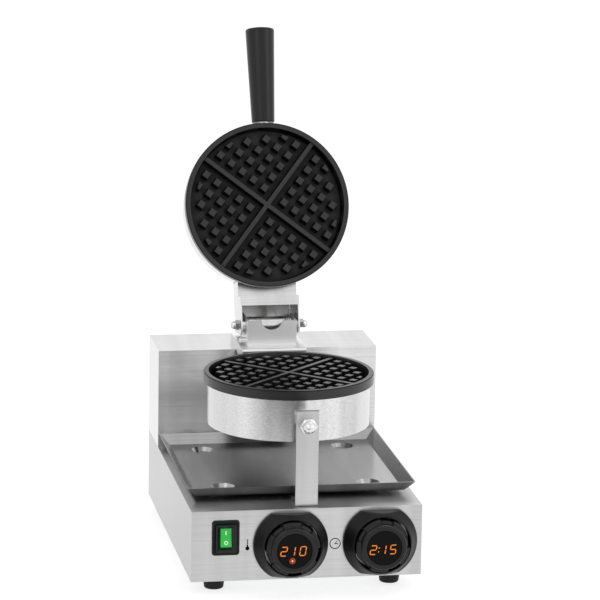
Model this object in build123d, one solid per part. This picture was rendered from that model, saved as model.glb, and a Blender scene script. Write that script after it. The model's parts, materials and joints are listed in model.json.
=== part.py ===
from build123d import *
import os
from math import asin, atan2, cos, degrees, hypot, pi, radians, sin, sqrt, tan

# Commercial round waffle maker with a hinged upper plate, in millimetres.
# X runs to the machine's right, Y to its back and Z up, from the floor.
# While it is modelled, Y starts at the front panel; the finished machine is then
# moved so that its origin is under the middle of its box.

# Base and tower
BODY_WIDTH = 250.0
BODY_DEPTH = 350.0
BASE_HEIGHT = 77.5
TOWER_HEIGHT = 111.8
TOWER_DEPTH = 80.0
SHEET = 1.2
LIP = 10.0
FOOT_HEIGHT = 15.0
FOOT_TOP_R = 12.3
FOOT_FLOOR_R = 10.5
FOOT_INSET = 29.0
FOOT_RECESS_R = 5.5
FOOT_RECESS_DEPTH = 7.0
VENT_LENGTH = 26.0
VENT_WIDTH = 3.0
VENT_PITCH = 12.0
VENT_COUNT = 8

# Round pans and their cast plates
PAN_Y = 130.5
RIM_ABOVE_BASE = 197.4
RIM_R = 93.3
RIM_BAND = 10.8
RIM_LAND = 4.6
RIM_STEP = 0.9
SHELL_R = 89.1
SHELL_HEIGHT = 47.0
SHELL_SHEET = 1.5
CAVITY_DEPTH = 14.0
CAVITY_DRAFT = 9.0
PLATE_FLOOR = 8.0
RIB_DROP = 1.8
RIB_TOP = 4.7
RIB_DRAFT = 5.0
PEG_TOP = 7.3
PEG_DRAFT = 5.0
PEG_PITCH = 15.4
PEG_START = 13.9
PEG_REACH = 81.5
PEG_COUNT = 5
LOWER_TURN = 1.0
UPPER_TURN = 7.0
CLOSED_GAP = 0.5

# Heater ring, its clamp and the bolts that hold a plate to its shell
HEATER_R = 56.0
HEATER_TUBE_R = 4.0
HEATER_SWEEP = 318.0
HEATER_LEG = 9.0
CLAMP_R = 66.0
CLAMP_SHEET = 2.0
CLAMP_HOLE_R = 44.0
PLATE_BOLT_R = 2.5
PLATE_BOLT_CIRCLE = 36.0
PLATE_BOLT_COUNT = 3
SENSOR_R = 2.5
SENSOR_LENGTH = 40.0

# Hinge
AXLE_ABOVE_BASE = 218.7
OPEN_LEAN = 18.0
AXLE_R = 3.0
AXLE_NUT_FLATS = 10.0
AXLE_NUT_HEX = 5.0
AXLE_NUT_LENGTH = 10.5
BRACKET_WIDTH = 56.0
BRACKET_SHEET = 2.0
BRACKET_FRONT = 20.3
BRACKET_RISE = 8.8
NOTCH_R = 12.2
NOTCH_LIFT = 1.4
ARM_WIDTH = 67.0
ARM_SHEET = 1.5
EAR_FRONT = 10.0
EAR_TAIL_R = 11.0
ARM_TAIL = 4.0
ARM_REACH = 184.0
ARM_STRAP_WIDTH = 46.0
COVER_STEP = 15.0
COVER_LIP_LOW = 21.0
COVER_LIP_HIGH = 32.0
ARBOR_R = 9.0
ARBOR_WALL = 1.5
ARBOR_END = 16.5
SPRING_R = 9.1
SPRING_WIRE_R = 0.9
SPRING_PITCH = 2.35
SPRING_TURNS = 3
SPRING_LOW_LEG = 16.8
SPRING_HIGH_LEG = 28.0
SLEEVE_WIDTH = 14.0
SLEEVE_THICK = 6.0
SLEEVE_X = 4.2

# Saddle behind the lower pan
SADDLE_WIDTH = 73.0
SADDLE_HEIGHT = 10.0
SADDLE_SHEET = 2.0
SADDLE_BACK = 312.0
SADDLE_DROP = 52.0
SADDLE_BEND_R = 3.0

# Front post
POST_WIDTH = 24.3
POST_SHEET = 4.0
POST_SETBACK = 7.4
POST_HEIGHT = 105.0
POST_FOOT = 29.0
STUD_ABOVE_DECK = 89.6
STUD_R = 5.0
STUD_NUT_FLATS = 17.0
STUD_NUT_HEIGHT = 8.0
CAP_NUT_LENGTH = 18.0

# Handle
HANDLE_LENGTH = 109.0
HANDLE_BASE_R = 13.0
HANDLE_TIP_R = 16.5
HANDLE_DOME = 1.6
HANDLE_EDGE = 2.0
HANDLE_GAP = 1.5
HANDLE_AXIS_DEPTH = 10.8
HANDLE_STUD_R = 3.5
HANDLE_STUD_IN_GRIP = 60.0
HANDLE_STUD_IN_PLATE = 5.9
HANDLE_COLLAR_R = 8.0

# Drip tray
TRAY_WIDTH = 249.4
TRAY_FRONT = 34.7
TRAY_GAP = 0.5
TRAY_SHEET = 1.0
TRAY_FLOOR = 5.5
TRAY_RIM = 15.9
TRAY_FLARE = 10.4
TRAY_FOOT_R = 15.0
TRAY_FOOT_FLARE = 4.0
TRAY_FOOT_X = 80.0
TRAY_FOOT_FRONT = 78.0
TRAY_FOOT_REAR = 232.0

# Turning and pressing controls with a display in the middle
CONTROL_X = {"temperature": -18.0, "timer": 79.1}
CONTROL_ABOVE_BASE = 38.75
BEZEL_R = 40.4
BEZEL_FLAT = 34.3
BEZEL_BORE_R = 31.3
BEZEL_RISE = 8.0
BEZEL_SEAT = 2.5
KNOB_STEP_R = 26.4
KNOB_TOOTH_R = 29.9
KNOB_TEETH = 5
KNOB_SKIRT = 17.0
KNOB_BARREL_R = 25.2
KNOB_RING_R = 24.2
KNOB_RISE = 28.0
KNOB_GAP = 2.0
KNOB_WEB = 3.0
CORE_R = 18.6
STEM_R = 12.0
STEM_LENGTH = 16.0
WINDOW_SHEET = 1.5
WINDOW_DROP = 0.4
PRESS_TRAVEL = 1.0
ENCODER_SIZE = 46.0
ENCODER_DEPTH = 24.0

# Power switch
SWITCH_X = -88.0
SWITCH_ABOVE_BASE = 48.0
SWITCH_WIDTH = 30.0
SWITCH_HEIGHT = 39.0
SWITCH_FRAME_WIDTH = 24.0
SWITCH_FRAME_HEIGHT = 32.0
SWITCH_FRAME_RISE = 5.0
SWITCH_GASKET_RISE = 2.6
ROCKER_WIDTH = 11.4
ROCKER_HEIGHT = 20.0
ROCKER_TILT = 9.0
ROCKER_PIVOT_IN = 1.5
ROCKER_PIN_R = 1.6

# Cable gland at the back, left open for a lead
GLAND_X = -85.0
GLAND_ABOVE_BASE = 34.0
GLAND_BORE_R = 4.75
GLAND_THREAD_R = 8.0
GLAND_FLATS = 22.0
GLAND_FLANGE = 6.0
GLAND_CAP_LENGTH = 16.0

# Clearances
SLIDE_GAP = 0.3
RUNNING_FIT = 0.05
SCREW_FIT = 0.2
PART_GAP = 0.3

# Places that follow from the sizes above
BASE_Z = FOOT_HEIGHT
DECK_Z = BASE_Z + BASE_HEIGHT
TOWER_TOP_Z = DECK_Z + TOWER_HEIGHT
TOWER_Y = BODY_DEPTH - TOWER_DEPTH
HALF = BODY_WIDTH / 2
RIM_Z = BASE_Z + RIM_ABOVE_BASE
PLATE_DEPTH = CAVITY_DEPTH + PLATE_FLOOR
PAN_HEIGHT = RIM_BAND + SHELL_HEIGHT
AXLE_Z = BASE_Z + AXLE_ABOVE_BASE
AXLE_FACE = AXLE_Z - RIM_Z - CLOSED_GAP
SADDLE_TOP_Z = TOWER_TOP_Z + SADDLE_HEIGHT
BRACKET_BACK = PAN_HEIGHT - AXLE_FACE - PART_GAP
ARM_WEB = PAN_HEIGHT - AXLE_FACE
HINGE_REACH = 134.0
AXLE_Y = PAN_Y + HINGE_REACH
ARBOR_START = BRACKET_WIDTH / 2 - BRACKET_SHEET - PART_GAP
TRAY_BACK = TOWER_Y - TRAY_GAP
POST_Y = POST_SETBACK
STUD_Z = DECK_Z + STUD_ABOVE_DECK


def block(x, y, z):
    """A box between two values on each axis."""
    size = (x[1] - x[0], y[1] - y[0], z[1] - z[0])
    middle = ((x[0] + x[1]) / 2, (y[0] + y[1]) / 2, (z[0] + z[1]) / 2)
    return Pos(*middle) * Box(*size)


def rod_x(x0, x1, y, z, radius):
    """A round bar along X."""
    return Pos((x0 + x1) / 2, y, z) * Rot(0, 90, 0) * Cylinder(radius, x1 - x0)


def rod_y(x, y0, y1, z, radius):
    """A round bar along Y."""
    return Pos(x, (y0 + y1) / 2, z) * Rot(90, 0, 0) * Cylinder(radius, y1 - y0)


def rod_z(x, y, z0, z1, radius):
    """A round bar along Z."""
    return Pos(x, y, (z0 + z1) / 2) * Cylinder(radius, z1 - z0)


def turned(points, plane=Plane.XZ):
    """A turned piece: its half outline in a plane, spun about Z."""
    return revolve(plane * make_face(Polyline(*points, close=True)), Axis.Z)


def hexagon(flats, height):
    """A hexagonal bar standing on the XY plane."""
    return extrude(RegularPolygon(flats / 2, 6, major_radius=False), height)


def cap_nut(flats, hex_height, length, bore_r):
    """A domed nut standing on the XY plane, with its blind bore open below."""
    dome_r = flats * 0.47
    body_top = length - dome_r
    shaft = Pos(0, 0, (hex_height + body_top) / 2) * Cylinder(dome_r, body_top - hex_height)
    dome = Pos(0, 0, body_top) * Sphere(dome_r)
    nut = hexagon(flats, hex_height) + shaft + (dome & Pos(0, 0, length) * Box(flats, flats, 2 * dome_r))
    return nut - rod_z(0, 0, -1, body_top, bore_r)


def screw(head_r, head_height, shank_r, length):
    """A pan-head screw along Z, its head above the XY plane and its shank below."""
    edge = min(head_height, head_r) * 0.45
    outline = [
        (0, -length), (shank_r, -length), (shank_r, 0), (head_r, 0), (head_r, head_height - edge),
        (head_r - edge, head_height), (0, head_height),
    ]
    return turned(outline)


# Frames: a lid piece is drawn with its plate upright, from the axle
LID = Pos(0, AXLE_Y, AXLE_Z) * Rot(-OPEN_LEAN, 0, 0)
UPPER_PLATE = LID * Pos(0, -AXLE_FACE, HINGE_REACH) * Rot(90, 0, 0)
LOWER_PLATE = Pos(0, PAN_Y, RIM_Z)
TO_FRONT = Rot(90, 0, 0)
TO_BACK = Rot(-90, 0, 0)


# Base housing: front, deck and sides folded from one sheet
def base_housing():
    outer = block((-HALF, HALF), (0, BODY_DEPTH), (BASE_Z, DECK_Z))
    inner = block((-HALF + SHEET, HALF - SHEET), (SHEET, BODY_DEPTH + 1), (BASE_Z - 1, DECK_Z - SHEET))
    housing = outer - inner
    for side in (-1, 1):
        wall = side * (HALF - SHEET)
        rear = sorted((wall, wall - side * LIP))
        housing += block(rear, (BODY_DEPTH - SHEET, BODY_DEPTH), (BASE_Z + 2 * SHEET, DECK_Z - SHEET))
        housing += block(rear, (SHEET, BODY_DEPTH), (BASE_Z + SHEET, BASE_Z + 2 * SHEET))
    for x in CONTROL_X.values():
        housing -= rod_y(x, -1, SHEET + 1, BASE_Z + CONTROL_ABOVE_BASE, STEM_R + PART_GAP)
    half_w = SWITCH_FRAME_WIDTH / 2 - 1
    half_h = SWITCH_FRAME_HEIGHT / 2 - 1
    switch_z = BASE_Z + SWITCH_ABOVE_BASE
    housing -= block((SWITCH_X - half_w, SWITCH_X + half_w), (-1, SHEET + 1), (switch_z - half_h, switch_z + half_h))
    for x, y in POST_SCREWS:
        housing -= rod_z(x, y, DECK_Z - 5, DECK_Z + 1, POST_SCREW_R)
    housing -= rod_z(0, BODY_DEPTH - TOWER_DEPTH / 2, DECK_Z - 5, DECK_Z + 1, LEAD_HOLE_R)
    for x, y in side_pairs(REAR_SCREW_X, [BODY_DEPTH]):
        housing -= rod_y(x, y - 4, y + 1, BASE_Z + REAR_SCREW_LOW, REAR_SCREW_R)
    for x, y in side_pairs(HALF - SHEET - LIP / 2, BOTTOM_SCREW_Y):
        housing -= rod_z(x, y, BASE_Z, BASE_Z + 4, REAR_SCREW_R)
    return housing


def side_pairs(x, ys):
    """The same place left and right of the middle, at each depth."""
    return [(side * x, y) for side in (-1, 1) for y in ys]


POST_SCREW_R = 2.5
POST_SCREW_Y = POST_Y + POST_SHEET + 16.0
POST_SCREWS = side_pairs(6.5, [POST_SCREW_Y])
LEAD_HOLE_R = 10.0
REAR_SCREW_R = 1.75
REAR_SCREW_X = HALF - SHEET - LIP / 2
REAR_SCREW_LOW = 12.0
REAR_SCREW_HIGH = TOWER_TOP_Z - BASE_Z - 14.0
REAR_SCREW_MIDDLE = BASE_HEIGHT + 12.0
BOTTOM_SCREW_Y = [75.0, BODY_DEPTH - 75.0]


# Bottom plate with its air slots, under the base
def bottom_plate():
    x = HALF - SHEET - PART_GAP
    plate = block((-x, x), (SHEET + PART_GAP, BODY_DEPTH - PART_GAP), (BASE_Z, BASE_Z + SHEET))
    for row in (-1, 1):
        middle = BODY_DEPTH / 2 + row * BODY_DEPTH / 5
        for slot in range(VENT_COUNT):
            x = (slot - (VENT_COUNT - 1) / 2) * VENT_PITCH
            plate -= Pos(x, middle, BASE_Z) * extrude(SlotOverall(VENT_LENGTH, VENT_WIDTH, rotation=90), 3, both=True)
    for x, y in foot_places():
        plate -= rod_z(x, y, BASE_Z - 1, BASE_Z + 3, FOOT_SCREW_R)
    for x, y in side_pairs(HALF - SHEET - LIP / 2, BOTTOM_SCREW_Y):
        plate -= rod_z(x, y, BASE_Z - 1, BASE_Z + 3, REAR_SCREW_R)
    return plate


FOOT_SCREW_R = 2.5


def foot_places():
    """The middle of each foot."""
    return side_pairs(HALF - FOOT_INSET, [FOOT_INSET, BODY_DEPTH - FOOT_INSET])


# Tapered rubber feet with a deep screw recess from below
def rubber_foot():
    side = FOOT_TOP_R - FOOT_FLOOR_R
    outline = [
        (FOOT_RECESS_R, 0),
        (FOOT_FLOOR_R - 1, 0),
        (FOOT_FLOOR_R, 1),
        (FOOT_FLOOR_R + side, FOOT_HEIGHT),
        (FOOT_SCREW_R, FOOT_HEIGHT),
        (FOOT_SCREW_R, FOOT_RECESS_DEPTH),
        (FOOT_RECESS_R, FOOT_RECESS_DEPTH),
    ]
    return turned(outline)


def rubber_feet():
    return [Pos(x, y, 0) * rubber_foot() for x, y in foot_places()]


def foot_screws():
    length = FOOT_HEIGHT - FOOT_RECESS_DEPTH + SHEET + 4
    body = Rot(180, 0, 0) * screw(FOOT_RECESS_R - 1, 3, FOOT_SCREW_R - SCREW_FIT, length)
    nut = Pos(0, 0, FOOT_HEIGHT - FOOT_RECESS_DEPTH + SHEET) * hexagon(8, 4)
    piece = body + nut
    return [Pos(x, y, FOOT_RECESS_DEPTH) * piece for x, y in foot_places()]


# Tower housing: front, top and sides folded from one sheet
def tower_housing():
    outer = block((-HALF, HALF), (TOWER_Y, BODY_DEPTH), (DECK_Z, TOWER_TOP_Z))
    inner = block(
        (-HALF + SHEET, HALF - SHEET), (TOWER_Y + SHEET, BODY_DEPTH + 1), (DECK_Z - 1, TOWER_TOP_Z - SHEET)
    )
    tower = outer - inner
    for side in (-1, 1):
        wall = side * (HALF - SHEET)
        lip = sorted((wall, wall - side * LIP))
        tower += block(lip, (BODY_DEPTH - SHEET, BODY_DEPTH), (DECK_Z, TOWER_TOP_Z - SHEET))
    tower -= rod_z(SLEEVE_X, AXLE_Y + SLEEVE_BACK, TOWER_TOP_Z - 5, TOWER_TOP_Z + 1, LEAD_HOLE_R)
    for x, y in SADDLE_SCREWS:
        tower -= rod_z(x, y, TOWER_TOP_Z - 5, TOWER_TOP_Z + 1, SADDLE_SCREW_R)
    for height in (REAR_SCREW_MIDDLE, REAR_SCREW_HIGH):
        for x, y in side_pairs(REAR_SCREW_X, [BODY_DEPTH]):
            tower -= rod_y(x, y - 4, y + 1, BASE_Z + height, REAR_SCREW_R)
    return tower


SADDLE_SCREW_R = 2.5
SLEEVE_BACK = 27.0
SADDLE_FOOT = 14.0
SADDLE_SCREWS = side_pairs(SADDLE_WIDTH / 2 - SADDLE_FOOT / 2, [TOWER_Y + 14.0, SADDLE_BACK - 10.0])


# Rear panel over the back of base and tower, with air slots and the gland hole
def rear_panel():
    panel = block((-HALF, HALF), (BODY_DEPTH, BODY_DEPTH + SHEET), (BASE_Z, TOWER_TOP_Z))
    for row in range(3):
        z = DECK_Z + TOWER_HEIGHT / 2 + (row - 1) * (VENT_LENGTH + 6)
        for slot in range(VENT_COUNT):
            x = (slot - (VENT_COUNT - 1) / 2) * VENT_PITCH
            cut = extrude(SlotOverall(VENT_LENGTH, VENT_WIDTH, rotation=90), 3, both=True)
            panel -= Pos(x, BODY_DEPTH + SHEET, z) * TO_FRONT * cut
    panel -= rod_y(GLAND_X, BODY_DEPTH - 1, BODY_DEPTH + 4, BASE_Z + GLAND_ABOVE_BASE, GLAND_THREAD_R)
    for height in (REAR_SCREW_LOW, REAR_SCREW_MIDDLE, REAR_SCREW_HIGH):
        for x, y in side_pairs(REAR_SCREW_X, [BODY_DEPTH]):
            panel -= rod_y(x, y - 1, y + 4, BASE_Z + height, REAR_SCREW_R)
    return panel


def panel_screws():
    """The screws of the rear panel, then those of the bottom plate."""
    piece = screw(3.4, 2.2, REAR_SCREW_R - SCREW_FIT, 2 * SHEET + 3)
    heights = (REAR_SCREW_LOW, REAR_SCREW_MIDDLE, REAR_SCREW_HIGH)
    rear = [(side * REAR_SCREW_X, BASE_Z + height) for side in (-1, 1) for height in heights]
    screws = [Pos(x, BODY_DEPTH + SHEET, z) * TO_BACK * piece for x, z in rear]
    under = side_pairs(HALF - SHEET - LIP / 2, BOTTOM_SCREW_Y)
    return screws + [Pos(x, y, BASE_Z) * Rot(180, 0, 0) * piece for x, y in under]


# Cable gland: threaded body with lock nut inside, and the clamping cap outside
def cable_gland():
    thread = rod_z(0, 0, -SHEET - 10, 0.1, GLAND_THREAD_R - RUNNING_FIT)
    flange = hexagon(GLAND_FLATS, GLAND_FLANGE)
    neck = rod_z(0, 0, GLAND_FLANGE, GLAND_FLANGE + GLAND_CAP_LENGTH - 4, GLAND_THREAD_R - 1)
    nut = Pos(0, 0, -SHEET - 4) * hexagon(GLAND_FLATS, 4)
    body = thread + flange + neck + nut - rod_z(0, 0, -30, 40, GLAND_BORE_R)
    return Pos(GLAND_X, BODY_DEPTH + SHEET, BASE_Z + GLAND_ABOVE_BASE) * TO_BACK * body


def gland_cap():
    cap = Pos(0, 0, GLAND_FLANGE) * hexagon(GLAND_FLATS - 2, GLAND_CAP_LENGTH)
    round_end = turned([
        (0, 0), (GLAND_FLATS, 0), (GLAND_FLATS / 2 + 1, GLAND_FLANGE + GLAND_CAP_LENGTH - 6),
        (GLAND_BORE_R + 1.5, GLAND_FLANGE + GLAND_CAP_LENGTH), (0, GLAND_FLANGE + GLAND_CAP_LENGTH),
    ])
    cap &= round_end
    cap -= rod_z(0, 0, 0, GLAND_FLANGE + GLAND_CAP_LENGTH - 4, GLAND_THREAD_R - 1)
    cap -= rod_z(0, 0, 0, 60, GLAND_BORE_R)
    return Pos(GLAND_X, BODY_DEPTH + SHEET, BASE_Z + GLAND_ABOVE_BASE) * TO_BACK * cap


# Post in front of the pan: a flat bar bent back along the deck
def front_post():
    back = POST_Y + POST_SHEET
    side = [
        (POST_Y, DECK_Z), (POST_Y, DECK_Z + POST_HEIGHT), (back, DECK_Z + POST_HEIGHT),
        (back, DECK_Z + POST_SHEET), (back + POST_FOOT, DECK_Z + POST_SHEET), (back + POST_FOOT, DECK_Z),
    ]
    outline = Plane.YZ * make_face(Polyline(*side, close=True))
    post = extrude(outline, POST_WIDTH / 2, both=True)
    bends = post.edges().filter_by(Axis.X).filter_by_position(Axis.Z, DECK_Z - 1, DECK_Z + POST_SHEET + 1)
    heel = bends.filter_by_position(Axis.Y, POST_Y - 1, POST_Y + 1)
    crook = bends.filter_by_position(Axis.Y, back - 1, back + 1)
    post = fillet(heel, POST_SHEET * 0.6)
    crook = post.edges().filter_by(Axis.X).filter_by_position(Axis.Y, back - 0.1, back + 0.1)
    post = fillet(crook.filter_by_position(Axis.Z, DECK_Z + 1, DECK_Z + POST_SHEET + 1), 2)
    post -= rod_y(0, POST_Y - 1, back + 1, STUD_Z, STUD_R + RUNNING_FIT)
    for x, y in POST_SCREWS:
        post -= rod_z(x, y, DECK_Z - 1, DECK_Z + POST_SHEET + 1, POST_SCREW_R)
        post -= Pos(x, y, DECK_Z + POST_SHEET - 1) * Cone(POST_SCREW_R, POST_SCREW_R + 2.1, 2.1)
    return post


def post_screws():
    top = DECK_Z + POST_SHEET
    head = Pos(0, 0, -1.05) * Cone(POST_SCREW_R - SCREW_FIT, POST_SCREW_R + 1.7, 2.0)
    shank = rod_z(0, 0, -12, -1.5, POST_SCREW_R - SCREW_FIT)
    nut = Pos(0, 0, DECK_Z - SHEET - 4 - top) * hexagon(8, 4)
    return [Pos(x, y, top) * (head + shank + nut) for x, y in POST_SCREWS]


SHELL_FRONT_Y = PAN_Y - SHELL_R
STUD_TIP_Y = POST_Y - CAP_NUT_LENGTH + 9.5
STUD_END_Y = SHELL_FRONT_Y + SHELL_SHEET + STUD_NUT_HEIGHT + 4.0


def post_stud():
    return rod_y(0, STUD_TIP_Y, STUD_END_Y, STUD_Z, STUD_R)


def post_cap_nut():
    nut = cap_nut(STUD_NUT_FLATS, STUD_NUT_HEIGHT, CAP_NUT_LENGTH, STUD_R + RUNNING_FIT)
    return Pos(0, POST_Y, STUD_Z) * TO_FRONT * Rot(0, 0, 30) * nut


def post_lock_nuts():
    """Two nuts between post and shell, and a smaller one inside the shell."""
    bore = rod_z(0, 0, -1, 20, STUD_R + RUNNING_FIT)
    large = Rot(0, 0, 30) * hexagon(STUD_NUT_FLATS, STUD_NUT_HEIGHT) - bore
    small = hexagon(STUD_NUT_FLATS - 3, STUD_NUT_HEIGHT) - bore
    inside_y = SHELL_FRONT_Y + SHELL_SHEET + 1.0 + STUD_NUT_HEIGHT
    places = [(large, POST_Y + POST_SHEET + STUD_NUT_HEIGHT), (large, SHELL_FRONT_Y - 0.3), (small, inside_y)]
    return [Pos(0, y, STUD_Z) * TO_FRONT * nut for nut, y in places]


# Saddle: a folded channel on the tower that reaches forward and holds the pan
def pan_saddle():
    half = SADDLE_WIDTH / 2
    front = SADDLE_Y
    low = SADDLE_TOP_Z - SADDLE_DROP
    hook = [
        (front, low), (front, SADDLE_TOP_Z), (SADDLE_BACK, SADDLE_TOP_Z),
        (SADDLE_BACK, SADDLE_TOP_Z - SADDLE_SHEET), (front + SADDLE_SHEET, SADDLE_TOP_Z - SADDLE_SHEET),
        (front + SADDLE_SHEET, low),
    ]
    top = extrude(Plane.YZ * make_face(Polyline(*hook, close=True)), half, both=True)
    bend = top.edges().filter_by(Axis.X).filter_by_position(Axis.Y, front - 0.1, front + 0.1)
    top = fillet(bend.filter_by_position(Axis.Z, SADDLE_TOP_Z - 0.1, SADDLE_TOP_Z + 0.1), SADDLE_BEND_R)
    for side in (-1, 1):
        wall = sorted((side * half, side * (half - SADDLE_SHEET)))
        foot = sorted((side * half, side * (half - SADDLE_FOOT)))
        top += block(wall, (TOWER_Y, SADDLE_BACK), (TOWER_TOP_Z, SADDLE_TOP_Z))
        web = [
            (front + SADDLE_SHEET, SADDLE_TOP_Z - SADDLE_SHEET), (TOWER_Y, SADDLE_TOP_Z - SADDLE_SHEET),
            (TOWER_Y, TOWER_TOP_Z), (TOWER_Y - SADDLE_GUSSET, TOWER_TOP_Z - SADDLE_GUSSET / 3),
            (front + SADDLE_SHEET, low + SADDLE_SHEET),
        ]
        gusset = extrude(Plane.YZ * make_face(Polyline(*web, close=True)), SADDLE_SHEET)
        top += Pos(wall[0], 0, 0) * gusset
        top += block(foot, (TOWER_Y, SADDLE_BACK), (TOWER_TOP_Z, TOWER_TOP_Z + SADDLE_SHEET))
    for x, y in SADDLE_SCREWS:
        top -= rod_z(x, y, TOWER_TOP_Z - 1, TOWER_TOP_Z + 4, SADDLE_SCREW_R)
    for z in PAN_SCREWS:
        top -= rod_y(0, front - 1, front + 4, z, PAN_SCREW_R)
    top -= sleeve_hole(SADDLE_TOP_Z - 4, SADDLE_TOP_Z + 1, 1.3)
    for x, y in BRACKET_SCREWS:
        top -= rod_z(x, y, SADDLE_TOP_Z - 4, SADDLE_TOP_Z + 1, BRACKET_SCREW_R)
    return top


SADDLE_Y = PAN_Y + RIM_R + 2.2
SADDLE_GUSSET = 12.0
PAN_SCREW_R = 2.5
PAN_SCREWS = (SADDLE_TOP_Z - 30.0, SADDLE_TOP_Z - 45.0)
BRACKET_SCREW_R = 2.0
BRACKET_SCREWS = side_pairs(17.0, [AXLE_Y - 4.0, AXLE_Y + 27.0])
SLEEVE_DOWN = -14.5


def sleeve_hole(low, high, margin):
    """The way through for the lead sleeve, with room for it to bend back."""
    half = SLEEVE_WIDTH / 2 + 0.6
    room = SLEEVE_THICK / 2 + margin
    y = AXLE_Y + SLEEVE_DOWN
    return block((SLEEVE_X - half, SLEEVE_X + half), (y - room, y + room), (low, high))


def saddle_screws():
    piece = screw(4.2, 2.6, SADDLE_SCREW_R - SCREW_FIT, SADDLE_SHEET + SHEET + 5)
    return [Pos(x, y, TOWER_TOP_Z + SADDLE_SHEET) * piece for x, y in SADDLE_SCREWS]


def pan_bushes():
    bush = rod_z(0, 0, 0, SADDLE_Y - PAN_Y - SHELL_R, 6) - rod_z(0, 0, -1, 20, PAN_SCREW_R)
    return [Pos(0, SADDLE_Y, z) * TO_FRONT * bush for z in PAN_SCREWS]


def pan_screws():
    length = SADDLE_SHEET + SADDLE_Y - PAN_Y - SHELL_R + SHELL_SHEET + 6
    nut_top = -(length - 1.5)
    nut = Pos(0, 0, nut_top) * hexagon(8, 4)
    piece = screw(4.2, 2.6, PAN_SCREW_R - SCREW_FIT, length) + nut
    return [Pos(0, SADDLE_Y + SADDLE_SHEET, z) * TO_BACK * piece for z in PAN_SCREWS]


# A cast waffle plate, face up: rim, cavity, cross ribs and a grid of tapered pegs
def waffle_plate(turn):
    wall_run = CAVITY_DEPTH * tan(radians(CAVITY_DRAFT))
    cavity_r = RIM_R - RIM_LAND - RIM_STEP
    spigot_r = SHELL_R - SHELL_SHEET - PART_GAP
    outline = [
        (0, -CAVITY_DEPTH), (cavity_r - wall_run, -CAVITY_DEPTH), (cavity_r, 0),
        (RIM_R - RIM_STEP, 0), (RIM_R - RIM_STEP, -RIM_STEP), (RIM_R, -RIM_STEP),
        (RIM_R, -RIM_BAND), (spigot_r, -RIM_BAND), (spigot_r, -PLATE_DEPTH + 1), (spigot_r - 1, -PLATE_DEPTH),
        (0, -PLATE_DEPTH),
    ]
    plate = turned(outline)
    rise = CAVITY_DEPTH - RIB_DROP
    floor = Plane.XY.offset(-CAVITY_DEPTH)
    rib_foot = RIB_TOP + 2 * rise * tan(radians(RIB_DRAFT))
    rib = extrude(floor * Rectangle(2 * RIM_R, rib_foot), rise, taper=RIB_DRAFT)
    inside = rod_z(0, 0, -CAVITY_DEPTH - 1, 0, cavity_r - 0.3)
    ribs = (rib + Rot(0, 0, 90) * rib) & inside
    peg_foot = PEG_TOP + 2 * rise * tan(radians(PEG_DRAFT))
    peg = extrude(floor * Rectangle(peg_foot, peg_foot), rise, taper=PEG_DRAFT)
    reach = rod_z(0, 0, -CAVITY_DEPTH - 1, 0, PEG_REACH)
    pegs = []
    for quarter in range(4):
        for column in range(PEG_COUNT):
            for row in range(PEG_COUNT):
                x = PEG_START + column * PEG_PITCH
                y = PEG_START + row * PEG_PITCH
                if hypot(x, y) > PEG_REACH + 0.5:
                    continue
                whole = Rot(0, 0, 90 * quarter) * Pos(x, y, 0) * peg
                corner = hypot(x + peg_foot / 2, y + peg_foot / 2)
                pegs.append(whole if corner < PEG_REACH else whole & reach)
    plate = Rot(0, 0, 45 + turn) * (plate + ribs + pegs)
    for place in plate_bolt_places():
        plate -= rod_z(*place, -PLATE_DEPTH - 1, -PLATE_DEPTH + 5, PLATE_BOLT_R)
    return plate


def plate_bolt_places():
    """The bolts under a plate, on their circle."""
    step = 360 / PLATE_BOLT_COUNT
    angles = [radians(90 + step * number) for number in range(PLATE_BOLT_COUNT)]
    return [(PLATE_BOLT_CIRCLE * cos(a), PLATE_BOLT_CIRCLE * sin(a)) for a in angles]


def lower_waffle_plate():
    return LOWER_PLATE * waffle_plate(LOWER_TURN)


# The upper plate is also tapped in its rim for the handle's stud
def upper_waffle_plate():
    plate = waffle_plate(UPPER_TURN)
    hole = Pos(0, RIM_R + 1, -HANDLE_AXIS_DEPTH) * Rot(90, 0, 0)
    plate -= hole * extrude(Circle(HANDLE_STUD_R + RUNNING_FIT), HANDLE_STUD_IN_PLATE + 1)
    return UPPER_PLATE * plate


# A pan shell: a pressed cup with a sharp bottom edge, its rim under the plate's band
def pan_shell():
    low = -PAN_HEIGHT
    inner_r = SHELL_R - SHELL_SHEET
    outline = [
        (0, low), (SHELL_R - 0.6, low), (SHELL_R, low + 0.6), (SHELL_R, -RIM_BAND),
        (inner_r, -RIM_BAND), (inner_r, low + SHELL_SHEET), (0, low + SHELL_SHEET),
    ]
    shell = turned(outline)
    for place in plate_bolt_places():
        shell -= rod_z(*place, low - 1, low + SHELL_SHEET + 1, PLATE_BOLT_R)
    return shell


def lower_shell():
    shell = LOWER_PLATE * pan_shell()
    shell -= rod_y(0, SHELL_FRONT_Y - 2, SHELL_FRONT_Y + 10, STUD_Z, STUD_R + RUNNING_FIT)
    for z in PAN_SCREWS:
        shell -= rod_y(0, PAN_Y + SHELL_R - 10, PAN_Y + SHELL_R + 2, z, PAN_SCREW_R)
    return shell


def lid_shell():
    shell = pan_shell()
    hole = Pos(0, SHELL_R - 10, -HANDLE_AXIS_DEPTH) * Rot(-90, 0, 0)
    shell -= hole * extrude(Circle(HANDLE_STUD_R + PART_GAP), 20)
    lead = Pos(SLEEVE_X, -SHELL_R + 10, -SLEEVE_ENTRY) * Rot(90, 0, 0)
    shell -= lead * extrude(SlotOverall(SLEEVE_WIDTH + 2, SLEEVE_THICK + 2), 20)
    for x, y in ARM_SCREWS:
        shell -= rod_z(x, y - HINGE_REACH, -PAN_HEIGHT - 1, -PAN_HEIGHT + 3, ARM_SCREW_R)
    return UPPER_PLATE * shell


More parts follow.
